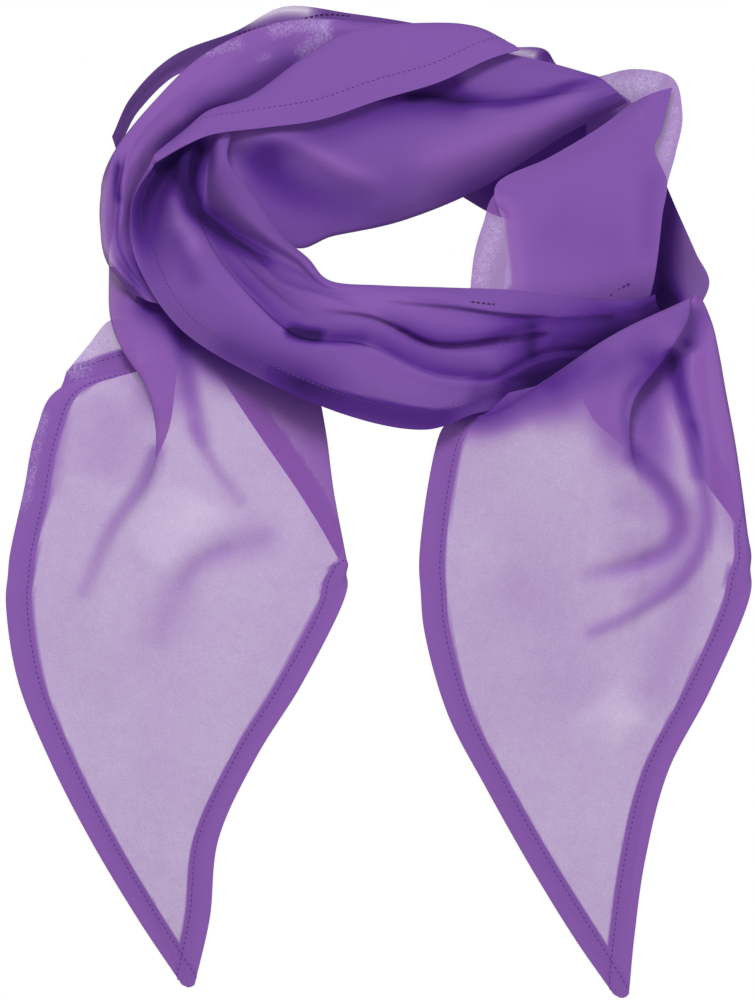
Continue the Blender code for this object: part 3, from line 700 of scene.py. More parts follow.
# %% Lines of the front band, in mm
# Sections: from under the hemmed strip, down the left side and across the front to the right end.
FRONT_BAND = {
    "hem edge": [(-108.5, -11, 0.5), (-117.5, -33, -10), (-124.5, -62, -29), (-120.5, -100, -59),
                 (-97.5, -126, -91.5), (-62.5, -143, -113), (-17.5, -151, -132.5),
                 (22.5, -152, -140), (49, -147.5, -131.5), (78, -125, -127), (119, -103, -119),
                 (141, -77, -100)],
    "low panel": [(-102.5, 1, 3), (-106, -13, -9), (-114, -46, -31), (-109, -104, -57),
                  (-86.5, -136, -84), (-56, -151, -104), (-15, -157, -122), (24, -157, -131),
                  (51, -149, -125.5), (80, -130, -118), (120, -106, -111), (141.5, -79, -97)],
    "panel crest": [(-97.5, -1, 6), (-101, -26, -11), (-103, -68, -27.5), (-95, -111, -50),
                    (-72.5, -142, -76), (-48, -155, -98), (-11, -160, -109), (25.5, -159, -120),
                    (54, -151, -120.5), (82, -133, -110), (121, -107, -105), (142, -80, -94)],
    "panel fold": [(-93.5, 0, 7), (-96.5, -24, -11), (-92, -67, -29), (-81, -111, -53),
                   (-62, -141, -75.5), (-40.5, -154, -93), (-7, -158, -97.5), (27, -158, -112.5),
                   (56.5, -151.5, -114), (84, -134.5, -104), (121.5, -107, -100.5),
                   (142, -80, -91)],
    "second fold": [(-92.5, 2.5, 6), (-94, -17, -16), (-87, -55, -33), (-75, -97, -51),
                    (-56, -129, -71), (-35.5, -147.5, -85), (-5.5, -153, -90), (28, -152, -105),
                    (58, -147, -106), (85.5, -131.5, -97.5), (122.5, -105, -97), (142, -79, -88)],
    "upper fold edge": [(-91, 4, 7), (-93, -13, -19.5), (-84, -54, -34.5), (-70.5, -99, -50),
                        (-51.5, -132.5, -66.5), (-31.5, -148, -78), (-3, -153.5, -83),
                        (29, -154.5, -97), (59.5, -149, -94.5), (86.5, -132.5, -91),
                        (124, -104.5, -93), (141.5, -80.5, -84.5)],
    "upper crest": [(-89.5, 5, 8.5), (-91.5, -10, -22.5), (-81.5, -53, -36), (-66.5, -100, -49),
                    (-48, -133.5, -63.5), (-29.5, -147.5, -74.5), (-2, -152, -78.5),
                    (30.5, -153, -86), (60.5, -149, -87), (87.5, -132.5, -86.5),
                    (125, -103.5, -89), (140.5, -82, -81)],
    "top hem edge": [(-87.5, 5, 10), (-89.5, -8, -25.5), (-79, -52, -37.5), (-62.5, -100.5, -48.5),
                     (-44.5, -133.5, -61), (-28, -147.5, -72), (-1, -150.5, -74.5),
                     (32, -152.5, -77.5), (61.5, -148, -81.5), (88.5, -131.5, -83),
                     (125.5, -102.5, -85.5), (139.5, -84, -78.5)],
    "valley": [(-84.5, 3.5, 11), (-87.5, -4, -22), (-75.5, -48, -38), (-58.5, -93, -48.5),
               (-42, -126, -58), (-27, -143.5, -70), (-0.5, -148.5, -72), (32.5, -150, -73.5),
               (62, -145.5, -77), (89, -129.5, -79.5), (126, -101, -82), (138.5, -85, -76.5)],
    "roll crest": [(-81, -2.5, 12.5), (-82.5, -16, -12), (-71.5, -58, -28), (-55.5, -101, -43),
                   (-39.5, -131, -55), (-26, -143.5, -67.3), (0, -146, -69.4), (33, -147, -71),
                   (62.5, -142, -73.5), (89.5, -126.5, -76), (126.5, -100, -78),
                   (138, -85.5, -74)],
    "top edge": [(-75.5, -3.5, 9.5), (-76.5, -12, -4), (-62.5, -51, -23.5), (-49, -93, -42.5),
                 (-35.5, -124, -54.5), (-25, -138, -65.5), (0.5, -140.5, -68), (33.5, -141.5, -69),
                 (63, -137, -70), (90, -121.5, -73), (127, -96, -75), (138, -82, -72)],
    "inner side": [(-76, 1, 6.5), (-77.5, -5, -9), (-65, -43, -28), (-52, -86, -47),
                   (-40, -118, -60), (-27.5, -132, -70.5), (-1, -134.5, -73.5),
                   (32.5, -135.5, -74.5), (61.5, -131, -77), (89, -116, -78.5), (126, -92, -79.5),
                   (137.5, -79, -76)],
    "inner end": [(-79.5, 3.5, 2), (-81, -1, -18), (-75, -36, -40), (-66, -82, -59),
                  (-50, -114, -76), (-32, -130, -88.5), (-2, -133, -93.5), (31.5, -134, -98.5),
                  (60, -129, -96), (88, -114.5, -93.5), (125, -91, -90), (137, -77.5, -86)],
}
print("front band:", len(FRONT_BAND), "lines")

# %% Pleats of the front band
RING_CENTRE = (0.0, -70.0, -50.0)  # mm, a place in the hollow of the neck
PANEL_PLEAT = [0.0, 0.0, 0.0, 1.0, 1.0, 1.0, 1.0, 1.0, 1.0, 0.4, 0.0, 0.0]
UPPER_PLEAT = [0.0, 0.0, 0.0, 0.0, 0.0, 0.0, 0.3, 1.0, 1.0, 0.0, 0.0, 0.0]
TOP_HEM_PLEAT = [0.0, 0.0, 0.0, 0.0, 0.0, 0.0, 0.0, 0.4, 0.5, 0.0, 0.0, 0.0]


def front_band():
    hem, low, crest, fold, second, upper, upper_crest, top_hem, valley, *rest = along(FRONT_BAND)
    panel_strength = spread(PANEL_PLEAT, FRONT_BAND)
    upper_strength = spread(UPPER_PLEAT, FRONT_BAND)
    hem_strength = spread(TOP_HEM_PLEAT, FRONT_BAND)
    fold_under = hidden_fold(fold, crest, second, panel_strength, RING_CENTRE)
    upper_under = hidden_fold(upper, upper_crest, second, upper_strength, RING_CENTRE)
    hem_under = hidden_fold(top_hem, valley, upper_crest, hem_strength, RING_CENTRE)
    return woven([
        hem,
        low,
        crest,
        *rounded(crest, fold, fold_under),
        *rounded(fold, fold_under, second),
        second,
        *rounded(second, upper_under, upper),
        *rounded(upper_under, upper, upper_crest),
        upper_crest,
        *rounded(upper_crest, hem_under, top_hem),
        *rounded(hem_under, top_hem, valley),
        valley,
        *rest,
    ])


# %% Creases and painted shade of the front band
# Painted shade: most marks darken where a fold, roll, pocket or hem lies in shade. 'rim', 'panel
# ridge' and 'upper strip light' are painted highlights; 'window' takes off a real layer, and 'dark
# hem' is partly the hem's own layers and partly painted shade.
BAND_CREASES_AND_PAINTED_SHADE = {
    "shade of the strip above the panel": (
        [(-90, -32.5), (-81, -53), (-67.5, -70), (-57.5, -81), (-50, -88), (-41, -94),
         (-27.5, -97), (-4.5, -98), (10.5, -104), (25.5, -110.5), (44, -114), (71, -115),
         (83.5, -113), (90, -109)],
        1.5, 8, 2.4, "left"),
    "shadow under the roll": (
        [(-92, -27.5), (-80, -38), (-72, -44.5), (-58.5, -52.5), (-49.5, -56), (-44.5, -58.5),
         (-32.5, -63)],
        1, 5, (5, 0.5), "right"),
    "above the second strip": (
        [(-82.5, -36), (-67.5, -49.5), (-58.5, -58.5), (-49.5, -66.5), (-29, -73), (-10, -80)],
        0.5, 4, 1.6, "left"),
    "low side of the lens": (
        [(-1.5, -82.5), (10.5, -90.5), (21, -95.5), (32, -98), (47, -97.5), (62, -94),
         (75.5, -89.5), (88, -84)],
        1.2, 8, 2.2, "left"),
    "under the top hem": (
        [(17.5, -73.5), (30.5, -76), (41, -78), (56, -81.5), (68, -83), (88, -84), (115, -82)],
        0.5, 3, (0.6, 3), "right"),
    "dark slit": (
        [(-48, -89.5), (-40, -92.5), (-32, -93.5), (-26.5, -94)],
        1.5, 3, 9, "both"),
    "paler slit": (
        [(-29, -94), (-17.5, -95), (-4, -96)],
        0.6, 4, 1.2, "both"),
    "pinch under the lens": (
        [(76.5, -84), (76, -95), (75.5, -107)],
        1.5, 4, 3.2, "both"),
    "under the right roll": (
        [(60, -131), (80, -121), (100, -109), (120, -95), (137.5, -84), (160, -69)],
        0, 13, 6, "both"),
    "right end in the shade": (
        [(57.5, -109), (75, -101), (95, -92.5), (125, -78)],
        0, 18, 2.2, "both"),
    "pocket": (
        [(-98, 1), (-107, -7), (-114, -18), (-118, -31), (-117, -45), (-114, -57)],
        3, 10, (9, 1.5), "both"),
    "dark valley beside the roll": (
        [(-95, 0), (-97, -10), (-96.5, -20), (-92.5, -28.5), (-84, -36), (-72, -45),
         (-59, -52)],
        1.5, 5.5, (9, 2.5), "both"),
    "soft trough": (
        [(-104, -37.5), (-100.5, -50), (-96, -60), (-91, -71)],
        2, 5, 1.3, "both"),
    "over the hem": (
        [(-86, -94), (-72.5, -102.5), (-54, -111.5), (-27.5, -121)],
        0.5, 8, 1.6, "both"),
    "dark hem": (
        [(-57.5, -106), (-47.5, -111), (-27.5, -118.5), (-4.5, -124), (18, -128.5),
         (32.5, -129.5), (52.5, -124)],
        0, 15, 3.6, "right"),
    "window": (
        [(-25, -108), (-7.5, -113.5), (10, -118.5), (30, -121.5)],
        0, 8, -0.2, "both"),
    "panel dark": (
        [(-70, -92), (-56, -101), (-40, -111.5), (-28, -118.5)],
        0, 11, (0.3, 1.5), "both"),
    "upper strip light": (
        [(-40, -73), (-15, -75), (10, -76.5), (30, -81)],
        -1, 7, -0.6, "both"),
    "rim": (
        [(-113, -6), (-118, -12), (-122.5, -19), (-125, -27.5), (-125.5, -37.5), (-124, -49),
         (-119, -65)],
        0, 1.8, -1.3, "both"),
    "panel ridge": (
        [(-105, -17), (-102, -27.5), (-97, -40), (-90, -54)],
        -1, 5, -1, "both"),
    "line above the panel": (
        [(-4.5, -98), (10.5, -104), (25.5, -110.5), (44, -114), (71, -115), (83.5, -113)],
        0, 2, 1.5, "both"),
    "line under the lens": (
        [(-1.5, -82.5), (10.5, -90.5), (21, -95.5), (32, -98), (47, -97.5), (62, -94),
         (75.5, -89.5)],
        0.5, 2.4, 1.4, "both"),
    "right of the window": (
        [(42, -120), (55, -124), (70, -120)],
        0, 8, 1.6, "both"),
}
print("front band:", len(BAND_CREASES_AND_PAINTED_SHADE), "marks")

# %% Front band
BAND_TOP_SEAM = [(30.5, -74.0), (41.0, -75.5), (52.5, -77.0), (61.5, -78.0), (69.5, -79.5)]

band = creased(front_band(), BAND_CREASES_AND_PAINTED_SHADE)
dress("front_band", band, layers=3.2, creases=BAND_CREASES_AND_PAINTED_SHADE, cut=(150, 290),
      hems=("first",),
      pieces=[seam("band_top", band, BAND_TOP_SEAM)])

# %% [markdown]
# ## The left tail
#
# Both ends of the scarf are cut on the slant, so each tail narrows to a point with a hem down either
# side. The upper part of the left tail is folded in from the right, and a small pleat starts where the
# wound ring squeezes it. Both are turns of the one sheet, so that the doubled part has two real hems.

# %% Lines of the left tail, in mm
# Sections: from behind the left shoulder turn, under the band and down to the tip.
TAIL_LEFT = {
    "left hem": [(-121, -50, -57), (-116, -84, -88), (-116, -99, -106), (-160, -110, -119),
                 (-172, -115, -141), (-178, -119, -170), (-185, -122, -202.5),
                 (-186, -122.5, -213), (-187, -123, -225), (-181, -125, -265), (-165, -127, -305),
                 (-144.5, -128, -345), (-120.5, -128, -385), (-99, -128, -417)],
    "finger under": [(-112, -60, -59), (-102, -90, -84), (-100, -104, -100), (-102.5, -110, -119),
                     (-106, -115.5, -141), (-121, -120, -171), (-140, -125, -202),
                     (-144.5, -126, -213), (-149, -127, -225), (-145, -128.5, -265),
                     (-137, -129.5, -305), (-124.5, -130, -345), (-110, -129, -385),
                     (-97, -128, -418)],
    "finger edge": [(-136, -68, -58), (-135, -96, -84), (-129, -109, -100), (-117, -115, -119),
                    (-112, -121, -141), (-115, -126.5, -171), (-131, -129.5, -202),
                    (-135.5, -130, -213), (-140, -130.5, -225), (-135, -131.5, -265),
                    (-128, -132, -305), (-117.5, -131.5, -345), (-105.5, -129.5, -385),
                    (-96, -128, -418.5)],
    "right fold": [(-52, -82, -68), (-40, -99, -86), (-34, -110, -106), (-30, -116, -124),
                   (-26.5, -120, -144), (-23, -124, -171), (-17, -127, -203),
                   (-16.3, -128.5, -209.5), (-24.5, -129, -223), (-47.5, -130, -266),
                   (-70, -130, -303), (-87, -130, -344), (-91.5, -129, -384), (-93.8, -128, -418)],
    "right hem": [(-104, -52, -62), (-104, -82, -76), (-90, -98, -97.5), (-77, -107, -117.5),
                  (-60, -112, -143), (-40.5, -117, -171), (-24, -121.5, -198), (-17, -125.5, -212),
                  (-17, -127.5, -222), (-38.5, -129, -266), (-61.5, -129, -303),
                  (-80.5, -129, -344), (-85, -128, -384), (-92.5, -128, -417)],
}


def tail_left():
    left, under, edge, fold, hem = along(TAIL_LEFT)
    before = between(left, under, share=0.6, forward=-1.5)
    after = between(edge, fold, share=0.33, forward=4)
    middle = between(edge, fold, share=0.7, forward=4)
    return woven([
        left,
        before,
        *rounded(before, under, edge),
        *rounded(under, edge, after),
        after,
        middle,
        *rounded(middle, fold, hem),
        hem,
    ])


# %% Left tail
# Painted shade under the band and in the pinch, streaks and bends; 'pleated top' and 'folded part'
# count the real layers of the pleat and the fold.
LEFT_TAIL_CREASES_AND_PAINTED_SHADE = {
    "shadow of the band": (
        [(-114, -77), (-107, -82), (-94.5, -93.5), (-80, -103), (-67.5, -110), (-56, -115),
         (-40.5, -122.5), (-22.5, -130.5)],
        0, 9, (6, 2.2), "both"),
    "pleated top": (
        [(-128, -62.5), (-123, -80), (-116, -100), (-110, -120)],
        0, 10, (0, 1.1), "both"),
    "streak from the pleat": (
        [(-112, -151), (-119, -168), (-128, -180), (-136, -193), (-141.5, -205), (-148, -221)],
        2, 3.6, (0.9, 0.25), "both"),
    "pinch under the band": (
        [(-100, -92.5), (-97, -111), (-93.5, -129), (-89, -145)],
        2, 4.4, (2.6, 0.4), "both"),
    "middle of the bend": (
        [(-93, -139), (-87, -151), (-79, -164), (-70, -175)],
        1.2, 3.2, (0.5, 0.25), "both"),
    "lower bend": (
        [(-59, -194), (-76, -199), (-90, -206), (-101, -220), (-111, -240)],
        1.5, 8, (0.36, 0.2), "both"),
    "pale hollow": (
        [(-115, -210), (-97.5, -190), (-87.5, -170)],
        -1.5, 22, -0.12, "both"),
    "soft cloud": (
        [(-131, -121), (-136, -145), (-142, -167.5)],
        0.8, 18, 0.2, "both"),
    "folded part": (
        [(-59, -117.5), (-37.5, -137.5), (-25, -165), (-18, -197.5)],
        0, 10, 0.35, "both"),
    "beside the left hem": (
        [(-158, -125), (-161, -145), (-166, -175)],
        0.5, 4, 0.5, "both"),
    "edge of the lower bend": (
        [(-70, -198), (-81, -201), (-93, -208), (-102, -221)],
        1, 3.6, 0.2, "both"),
}
LEFT_TAIL_CREPE = {
    "crumpled hem": (
        [(-165, -121), (-170, -140), (-175, -165), (-180, -190)],
        0, 5, 0.9, "both"),
}

grid = creased(tail_left(), LEFT_TAIL_CREASES_AND_PAINTED_SHADE)
dress("tail_left", grid, creases=LEFT_TAIL_CREASES_AND_PAINTED_SHADE, crepe_marks=LEFT_TAIL_CREPE, cut=(210, 430),
      hems=("first", "last"))

# %% [markdown]
# ## The right tail
#
# The right tail comes over the band's end in a diagonal roll, curls under itself and hangs down to its
# point. Its top runs on behind the band for a few millimetres, so that no gap shows between them.

# %% Lines of the right tail, in mm
# Sections: from behind the diagonal roll, over it and down to the tip.
TAIL_RIGHT = {
    "left hem": [(41, -134, -118), (39.5, -136, -123), (36, -137, -130), (33, -138.5, -136),
                 (29, -139, -144), (23.5, -138, -170), (19.5, -137, -205), (20.2, -136.5, -220),
                 (22, -136, -240), (34, -136, -282.5), (52.5, -136, -318), (75, -136, -358),
                 (97.5, -136, -394.5), (116, -135, -421)],
    "under the band": [(51, -144.5, -132.5), (51.5, -146.5, -133.5), (52, -147, -137),
                       (50, -147, -142), (47, -146, -149), (43, -143, -171), (41, -141, -205),
                       (41.2, -140.3, -221), (42, -139.5, -240), (51, -139, -282),
                       (65, -138.5, -317.5), (83.5, -137.5, -357.5), (102, -136.5, -394),
                       (117, -135, -422)],
    "left middle": [(80, -143, -117), (81, -151, -118), (81.5, -157, -124.5), (81.5, -157.5, -134),
                    (80.5, -156, -147), (77.5, -150, -172.5), (75, -145, -205), (75, -144, -221),
                    (75, -143, -240), (78.5, -142, -281), (85.5, -141, -316),
                    (96.5, -139.5, -355.5), (108.5, -137.5, -393), (118.2, -135, -422.7)],
    "right middle": [(116, -128, -93), (118, -139, -92), (117.5, -151.5, -101),
                     (112, -156.5, -115), (107, -158.5, -130), (103, -154, -165),
                     (104, -149, -197.5), (103, -147.5, -214), (101.5, -146, -232.5),
                     (99, -145, -275), (101.5, -143, -312.5), (107, -140.5, -353.5),
                     (113, -138, -392.5), (119.3, -135, -423.3)],
    "curl edge": [(151.5, -93, -76), (155, -107.5, -74.5), (153, -124, -87), (140.5, -141.5, -106),
                  (127, -152, -125), (125, -155.5, -152), (130, -150, -190), (128.5, -148.5, -209),
                  (126, -147, -230), (119, -144.5, -272.5), (116.5, -142, -311),
                  (116, -140, -352.5), (117, -138, -392.5), (120.2, -135, -423.6)],
    "curl under": [(155, -87, -77), (155.5, -98, -75), (143, -127, -94.5), (104, -149.5, -116),
                   (105, -152, -132), (128, -149.5, -156), (136, -146, -190), (134, -145, -209),
                   (131, -144, -229), (124.5, -143, -272), (121, -141.5, -310.5),
                   (119, -139.5, -352), (118.7, -137.7, -392), (121, -135, -423.6)],
    "ridge": [(156, -84, -77), (158, -95, -72), (156, -113.5, -97), (148, -125, -106),
              (145, -137, -121), (153.5, -144, -150), (161, -144, -183), (160, -143.5, -201),
              (157, -143, -221), (142, -142, -269.5), (130, -140, -309.5), (124.5, -138.5, -351.7),
              (121.5, -137, -392), (122, -135, -423.4)],
    "right fold": [(162, -79, -79), (161.5, -89, -75), (166.5, -105, -87.5), (170, -116, -104),
                   (172.5, -125, -119), (178, -134, -150), (183.5, -138, -191),
                   (185.2, -138.7, -206), (179, -139, -224), (158.5, -139, -270),
                   (137.5, -138, -309), (128, -137, -353.5), (123.7, -136.3, -392.3),
                   (123.2, -135, -422.8)],
    "right hem": [(158, -75, -90), (158, -82, -98), (157, -93, -110), (156, -102, -121),
                  (156, -113, -138), (159, -126, -160), (180, -133.5, -191), (184.6, -135.8, -209),
                  (184.5, -138, -223.5), (164.5, -139, -270.5), (144, -138, -310),
                  (132.5, -137, -354), (127, -136, -393), (124.3, -135, -421.5)],
}


def tail_right():
    lines = along(TAIL_RIGHT)
    left, under_band, left_middle, right_middle, curl, curl_under, ridge, fold, hem = lines
    outer = between(ridge, fold, share=0.5, forward=1)
    return woven([
        left,
        under_band,
        left_middle,
        right_middle,
        *rounded(right_middle, curl, curl_under),
        *rounded(curl, curl_under, ridge),
        ridge,
        outer,
        *rounded(outer, fold, hem),
        hem,
    ])


# %% Creases and painted shade of the right tail
# Painted shade under the band, behind and along the curl, in the streaks, at the wedge and in the
# shades; 'roll', 'curl', 'narrow strip', 'folded part' and 'two layers at the fold' count real layers.
RIGHT_TAIL_CREASES_AND_PAINTED_SHADE = {
    "shadow of the band": (
        [(40, -129), (53, -130), (68, -125), (84, -116.5), (95, -109.5)],
        0, 9, (6, 1.6), "both"),
    "roll": (
        [(162.5, -67.5), (142.5, -84), (122.5, -97.5), (105, -109), (87.5, -121), (70, -129)],
        -1.5, 13, 2, "both"),
    "curl": (
        [(140, -90), (122.5, -107.5), (112.5, -122.5), (116, -140), (130, -157.5)],
        0, 10, 1.1, "both"),
    "behind the curl": (
        [(138, -108), (133.5, -122.5), (133.5, -137.5), (137.5, -152.5), (144, -165)],
        1, 9, (4.5, 0.3), "both"),
    "edge of the curl": (
        [(132.5, -111), (123.5, -122.5), (122, -135), (124.5, -145), (131.5, -158)],
        1, 2.6, 1.6, "both"),
    "main streak": (
        [(127, -152.5), (135, -161), (142, -169), (148, -180), (149, -190), (144, -199),
         (132.5, -205), (119, -209), (105, -211.5)],
        2.5, 4.4, (2.2, 0.25), "both"),
    "shade beside the streak": (
        [(110, -175), (130, -177.5), (142.5, -185), (135, -197.5), (110, -201)],
        1.5, 12, 0.25, "both"),
    "narrow strip": (
        [(156.5, -137.5), (159, -156), (162, -170), (163.5, -182.5), (161.5, -195),
         (156, -207.5), (147.5, -217.5), (134, -227), (120, -235), (106, -241)],
        -0.8, 3.4, (1.6, 0.4), "both"),
    "between the streaks": (
        [(154, -165), (156.5, -185), (152, -205), (137.5, -218), (117.5, -227)],
        0, 6, 0.35, "both"),
    "dark wedge": (
        [(146, -103), (149, -117.5), (153.5, -132.5), (157.5, -147.5), (159, -161)],
        1.5, 4, (7, 1.5), "both"),
    "beside the wedge": (
        [(153, -97.5), (152.5, -112.5), (154.5, -125), (158.5, -140)],
        1, 4, (2.5, 0.5), "both"),
    "folded part": (
        [(162, -75), (168, -105), (174, -140), (180, -175), (184.5, -205)],
        0, 9, 0.7, "both"),
    "pale hollow": (
        [(110, -270), (130, -290)],
        -1.5, 18, -0.1, "both"),
    "low shade": (
        [(160, -205), (146, -245), (130, -285)],
        1, 12, 0.25, "both"),
    "soft shade": (
        [(60, -205), (85, -245), (105, -285)],
        0.5, 26, 0.12, "both"),
    "two layers at the fold": (
        [(162, -76.5), (159, -85), (155.5, -94), (153, -101)],
        0, 7, 2.4, "both"),
    "shaded roll": (
        [(80, -123), (100, -111), (120, -100)],
        0, 9, 0.9, "both"),
}
print("right tail:", len(RIGHT_TAIL_CREASES_AND_PAINTED_SHADE), "marks")

# %% Right tail
TUCK = 8.0  # mm that its top runs on behind the band
TUCK_WAY = np.array((0.0, 0.7, 1.0))  # back and up
TUCK_END = 78.0  # mm, the x up to which it does
TUCK_FADE = 18.0  # mm over which it ends
TUCK_LEAST = 0.04  # share of it that is left there, so that no facet has a side of 0

grid = creased(tail_right(), RIGHT_TAIL_CREASES_AND_PAINTED_SHADE)
reach = TUCK * np.clip((TUCK_END - grid[:, :1, :1]) / TUCK_FADE, TUCK_LEAST, 1.0)
grid = run_on(grid, reach * TUCK_WAY)
dress("tail_right", grid, creases=RIGHT_TAIL_CREASES_AND_PAINTED_SHADE, cut=(205, 430),
      hems=("first", "last"))

# %% [markdown]
# ## The corner behind the left tail
#
# A turned corner of the cloth shows beside the left tail, with its hem along the bottom. It is one
# layer of crumpled crepe, with pale specks of painted sparkle highlight.

# %% Turned corner
# Sections: from the left outline of the turned corner to where the tail's finger covers it.
TAIL_LEFT_CORNER = {
    "hem edge": [(-160.5, -105, -120.5), (-147.5, -104, -118), (-134, -102, -113.5),
                 (-121.5, -100, -110.5)],
    "hem line": [(-158.5, -103, -116), (-146.8, -101, -106.5), (-133.5, -98, -102),
                 (-121.8, -96, -99.5)],
    "top": [(-157, -101, -111), (-146, -98, -97.5), (-135, -93, -85), (-122.5, -91, -86)],
}
CORNER_CREPE = {
    "crumpled": (
        [(-157, -119), (-147.5, -100), (-134, -84)],
        0, 12, 1, "both"),
}

grid = plain(TAIL_LEFT_CORNER)
dress("tail_left_corner", grid, crepe_marks=CORNER_CREPE, cut=(28, 36), hems=("first",))

# %% [markdown]
# ## The inside of the back
#
# Behind the neck lie several turns. The innermost one shows through the ring. Its right end folds over
# itself in the shape of a lens, as a pleat that opens and closes again, and its bottom edge is turned
# under. Its broad hollows are marks of painted shade, because they have no edge.

# %% Inside of the back
# Sections: across the inside of the back, from the left turn to the right turn.
INNER_BACK = {
    "turned under": [(-82, 13, -12), (-46, 7, -38), (-23, 5, -34), (10, 5, -26), (48, 4, -10),
                     (89, 1, 14), (121, -4, 27)],
    "bottom edge": [(-81, 10, -17), (-46, 1, -47), (-23, -1, -42), (11, -1, -34.5),
                    (50, -2, -18.5), (92, -5, 8), (124.5, -8.5, 25)],
    "low crest": [(-82, 6.5, -10), (-54, -1, -28), (-24, -6, -27.5), (10.5, -7, -24),
                  (47, -8, -11), (89, -10, 10), (123, -12, 27)],
    "middle": [(-83, 6.5, -3), (-57, 2, -8), (-25, -6, -5), (10, -9, -7.5), (45, -10, 1),
               (86.5, -13, 14), (120.5, -14, 29.5)],
    "high crest": [(-84, 6.5, 3), (-60, -1, 5), (-25, -3, 11), (10, -3, 15), (45, -6, 15),
                   (82.5, -13, 21), (119.5, -14.5, 30.5)],
    "crease": [(-85, 7, 7), (-62, 1, 13), (-25, -2, 21), (10, -3.5, 28.5), (45, -5, 26),
               (77.5, -10, 28), (116.3, -12, 33.5)],
    "lens crest": [(-86, 7.5, 9.5), (-63, 3, 17), (-25, 1, 26), (10, 2, 35), (45, 0, 39),
                   (80, -3, 39), (112.5, -9, 36.5)],
    "top": [(-86.5, 8, 11.5), (-64, 5, 22), (-25, 4, 34), (10, 5, 46), (45, 5, 52),
            (80.5, 4, 46.5), (109.5, -3.5, 38.5)],
}
LENS_PLEAT = [0.0, 0.0, 0.0, 0.7, 1.0, 0.8, 0.0]
FAR_BEHIND = (0.0, 500.0, 0.0)  # mm


def inner_back():
    turned, bottom, low, middle, high, crease, lens, top = along(INNER_BACK)
    crease_under = hidden_fold(crease, high, lens, spread(LENS_PLEAT, INNER_BACK), FAR_BEHIND)
    return woven([
        turned,
        *rounded(turned, bottom, low),
        low,
        middle,
        high,
        *rounded(high, crease, crease_under),
        *rounded(crease, crease_under, lens),
        lens,
        top,
    ])


# %% Creases and painted shade of the inside of the back
# Painted shade in the hollow, under the hem strip and the lens, along the bottom edge and at the
# lens's left end; 'arch', 'bright roll' and 'left of the hollow' are painted highlights.
INNER_BACK_CREASES_AND_PAINTED_SHADE = {
    "hollow below the arch": (
        [(-59, -5), (-54, -12), (-44, -20), (-26, -26), (0, -29)],
        4, 11, (3.2, 0.6), "both"),
    "under the hem strip": (
        [(-52.5, 4), (-40, 7), (-22.5, 12), (-5, 19), (15, 23.5), (40, 25)],
        2, 8, (1.2, 2.6), "both"),
    "along the bottom edge": (
        [(25, -28), (50, -18), (75, -5), (97.5, 11), (116, 25), (130, 36)],
        1, 9, 2, "both"),
    "under the lens": (
        [(-4, 26.5), (20, 27.5), (45, 25.5), (65.5, 25), (80, 28), (95, 33), (116, 39)],
        2, 3, 4, "both"),
    "left end of the lens": (
        [(10, 29), (25, 33), (44, 36)],
        1, 5, 3, "both"),
    "arch": (
        [(-84, 0), (-75, 6), (-61, 9), (-45, 6), (-31, -1), (-15, -10), (5, -16)],
        -3, 5, -1.5, "both"),
    "bright roll": (
        [(10, -11), (35, -1), (60, 9), (90, 20), (115, 32)],
        -3, 12, -1.2, "both"),
    "left of the hollow": (
        [(-80, 0), (-76.5, -9), (-71, -19)],
        -1, 6, -1, "both"),
}

grid = creased(inner_back(), INNER_BACK_CREASES_AND_PAINTED_SHADE)
dress("inner_back", grid, layers=3.4, creases=INNER_BACK_CREASES_AND_PAINTED_SHADE, cut=(85, 200))

# %% [markdown]
# ## The hem strip
#
# A hemmed strip lies along the inside of the back and comes over the left side, where its narrow end
# runs on down the rim of the band and dies out. That end is a small sheet of its own on the band's
# rim, because the solid that the strip stands for stops before it.

# %% Hem strip
# Sections: from the left turn along the inside of the back to its right end.
HEM_STRIP = {
    "hem edge": [(-112.5, -29, -5), (-98, -15, 3.5), (-84.5, -11, 9), (-58, -9, 12.5),
                 (-30, -8, 16.5), (0, -8, 26.5), (30, -10, 35.5), (55, -7, 47), (70.5, -1, 52)],
    "middle": [(-113.1, -27, -3.5), (-99.5, -13, 6), (-86, -9, 15), (-61.5, -6, 21),
               (-35, -4.5, 32), (-7, -3, 45), (26, -4, 51), (52, -3, 56), (69, 0, 53.2)],
    "high edge": [(-113.5, -25, -2), (-101, -9, 8), (-87.5, -2, 20.5), (-65, 2, 28.5),
                  (-40, 4, 46.5), (-14, 7, 61.5), (22.5, 8, 65.5), (49, 7, 63.5), (67, 4, 54.5)],
    "far side": [(-113.5, -22, -1), (-101.5, -4.5, 9), (-88, 3, 19.5), (-66, 8, 27), (-41, 12, 44),
                 (-14, 16, 56), (22, 17, 58), (49, 15.5, 57), (66.5, 8.5, 53)],
}
STRIP_LAYERS = 2.8
STRIP_END_WIDTH = 5.0  # mm
STRIP_END_LIFT = 0.6  # mm in front of the band
STRIP_END_STEPS = 22  # places on the band's rim


def strip_end(strip):
    """The strip's narrow end, which runs on down the band's rim and dies out there."""
    rim, inside = from_edge(band, 0.0), from_edge(band, STRIP_END_WIDTH)
    start = np.argmin(length(rim - strip[0, 0])) + 1
    across = np.linspace(0, 1, len(strip))[:, None]
    lift = (0.0, STRIP_END_LIFT, 0.0)
    columns = [strip[:, 0]]
    for i in range(start, start + STRIP_END_STEPS):
        width = 1 - (i - start + 1) / STRIP_END_STEPS
        columns.append(rim[i] + (inside[i] - rim[i]) * width * (1 - across) - lift)
    return np.stack(columns, axis=1)


grid = plain(HEM_STRIP)
end = sheet_mesh("cloth_hem_strip_end", strip_end(grid), layers=STRIP_LAYERS, crepe=0.0)
dress("hem_strip", grid, layers=STRIP_LAYERS, cut=(42, 165), hems=("first",),
      pieces=[end])
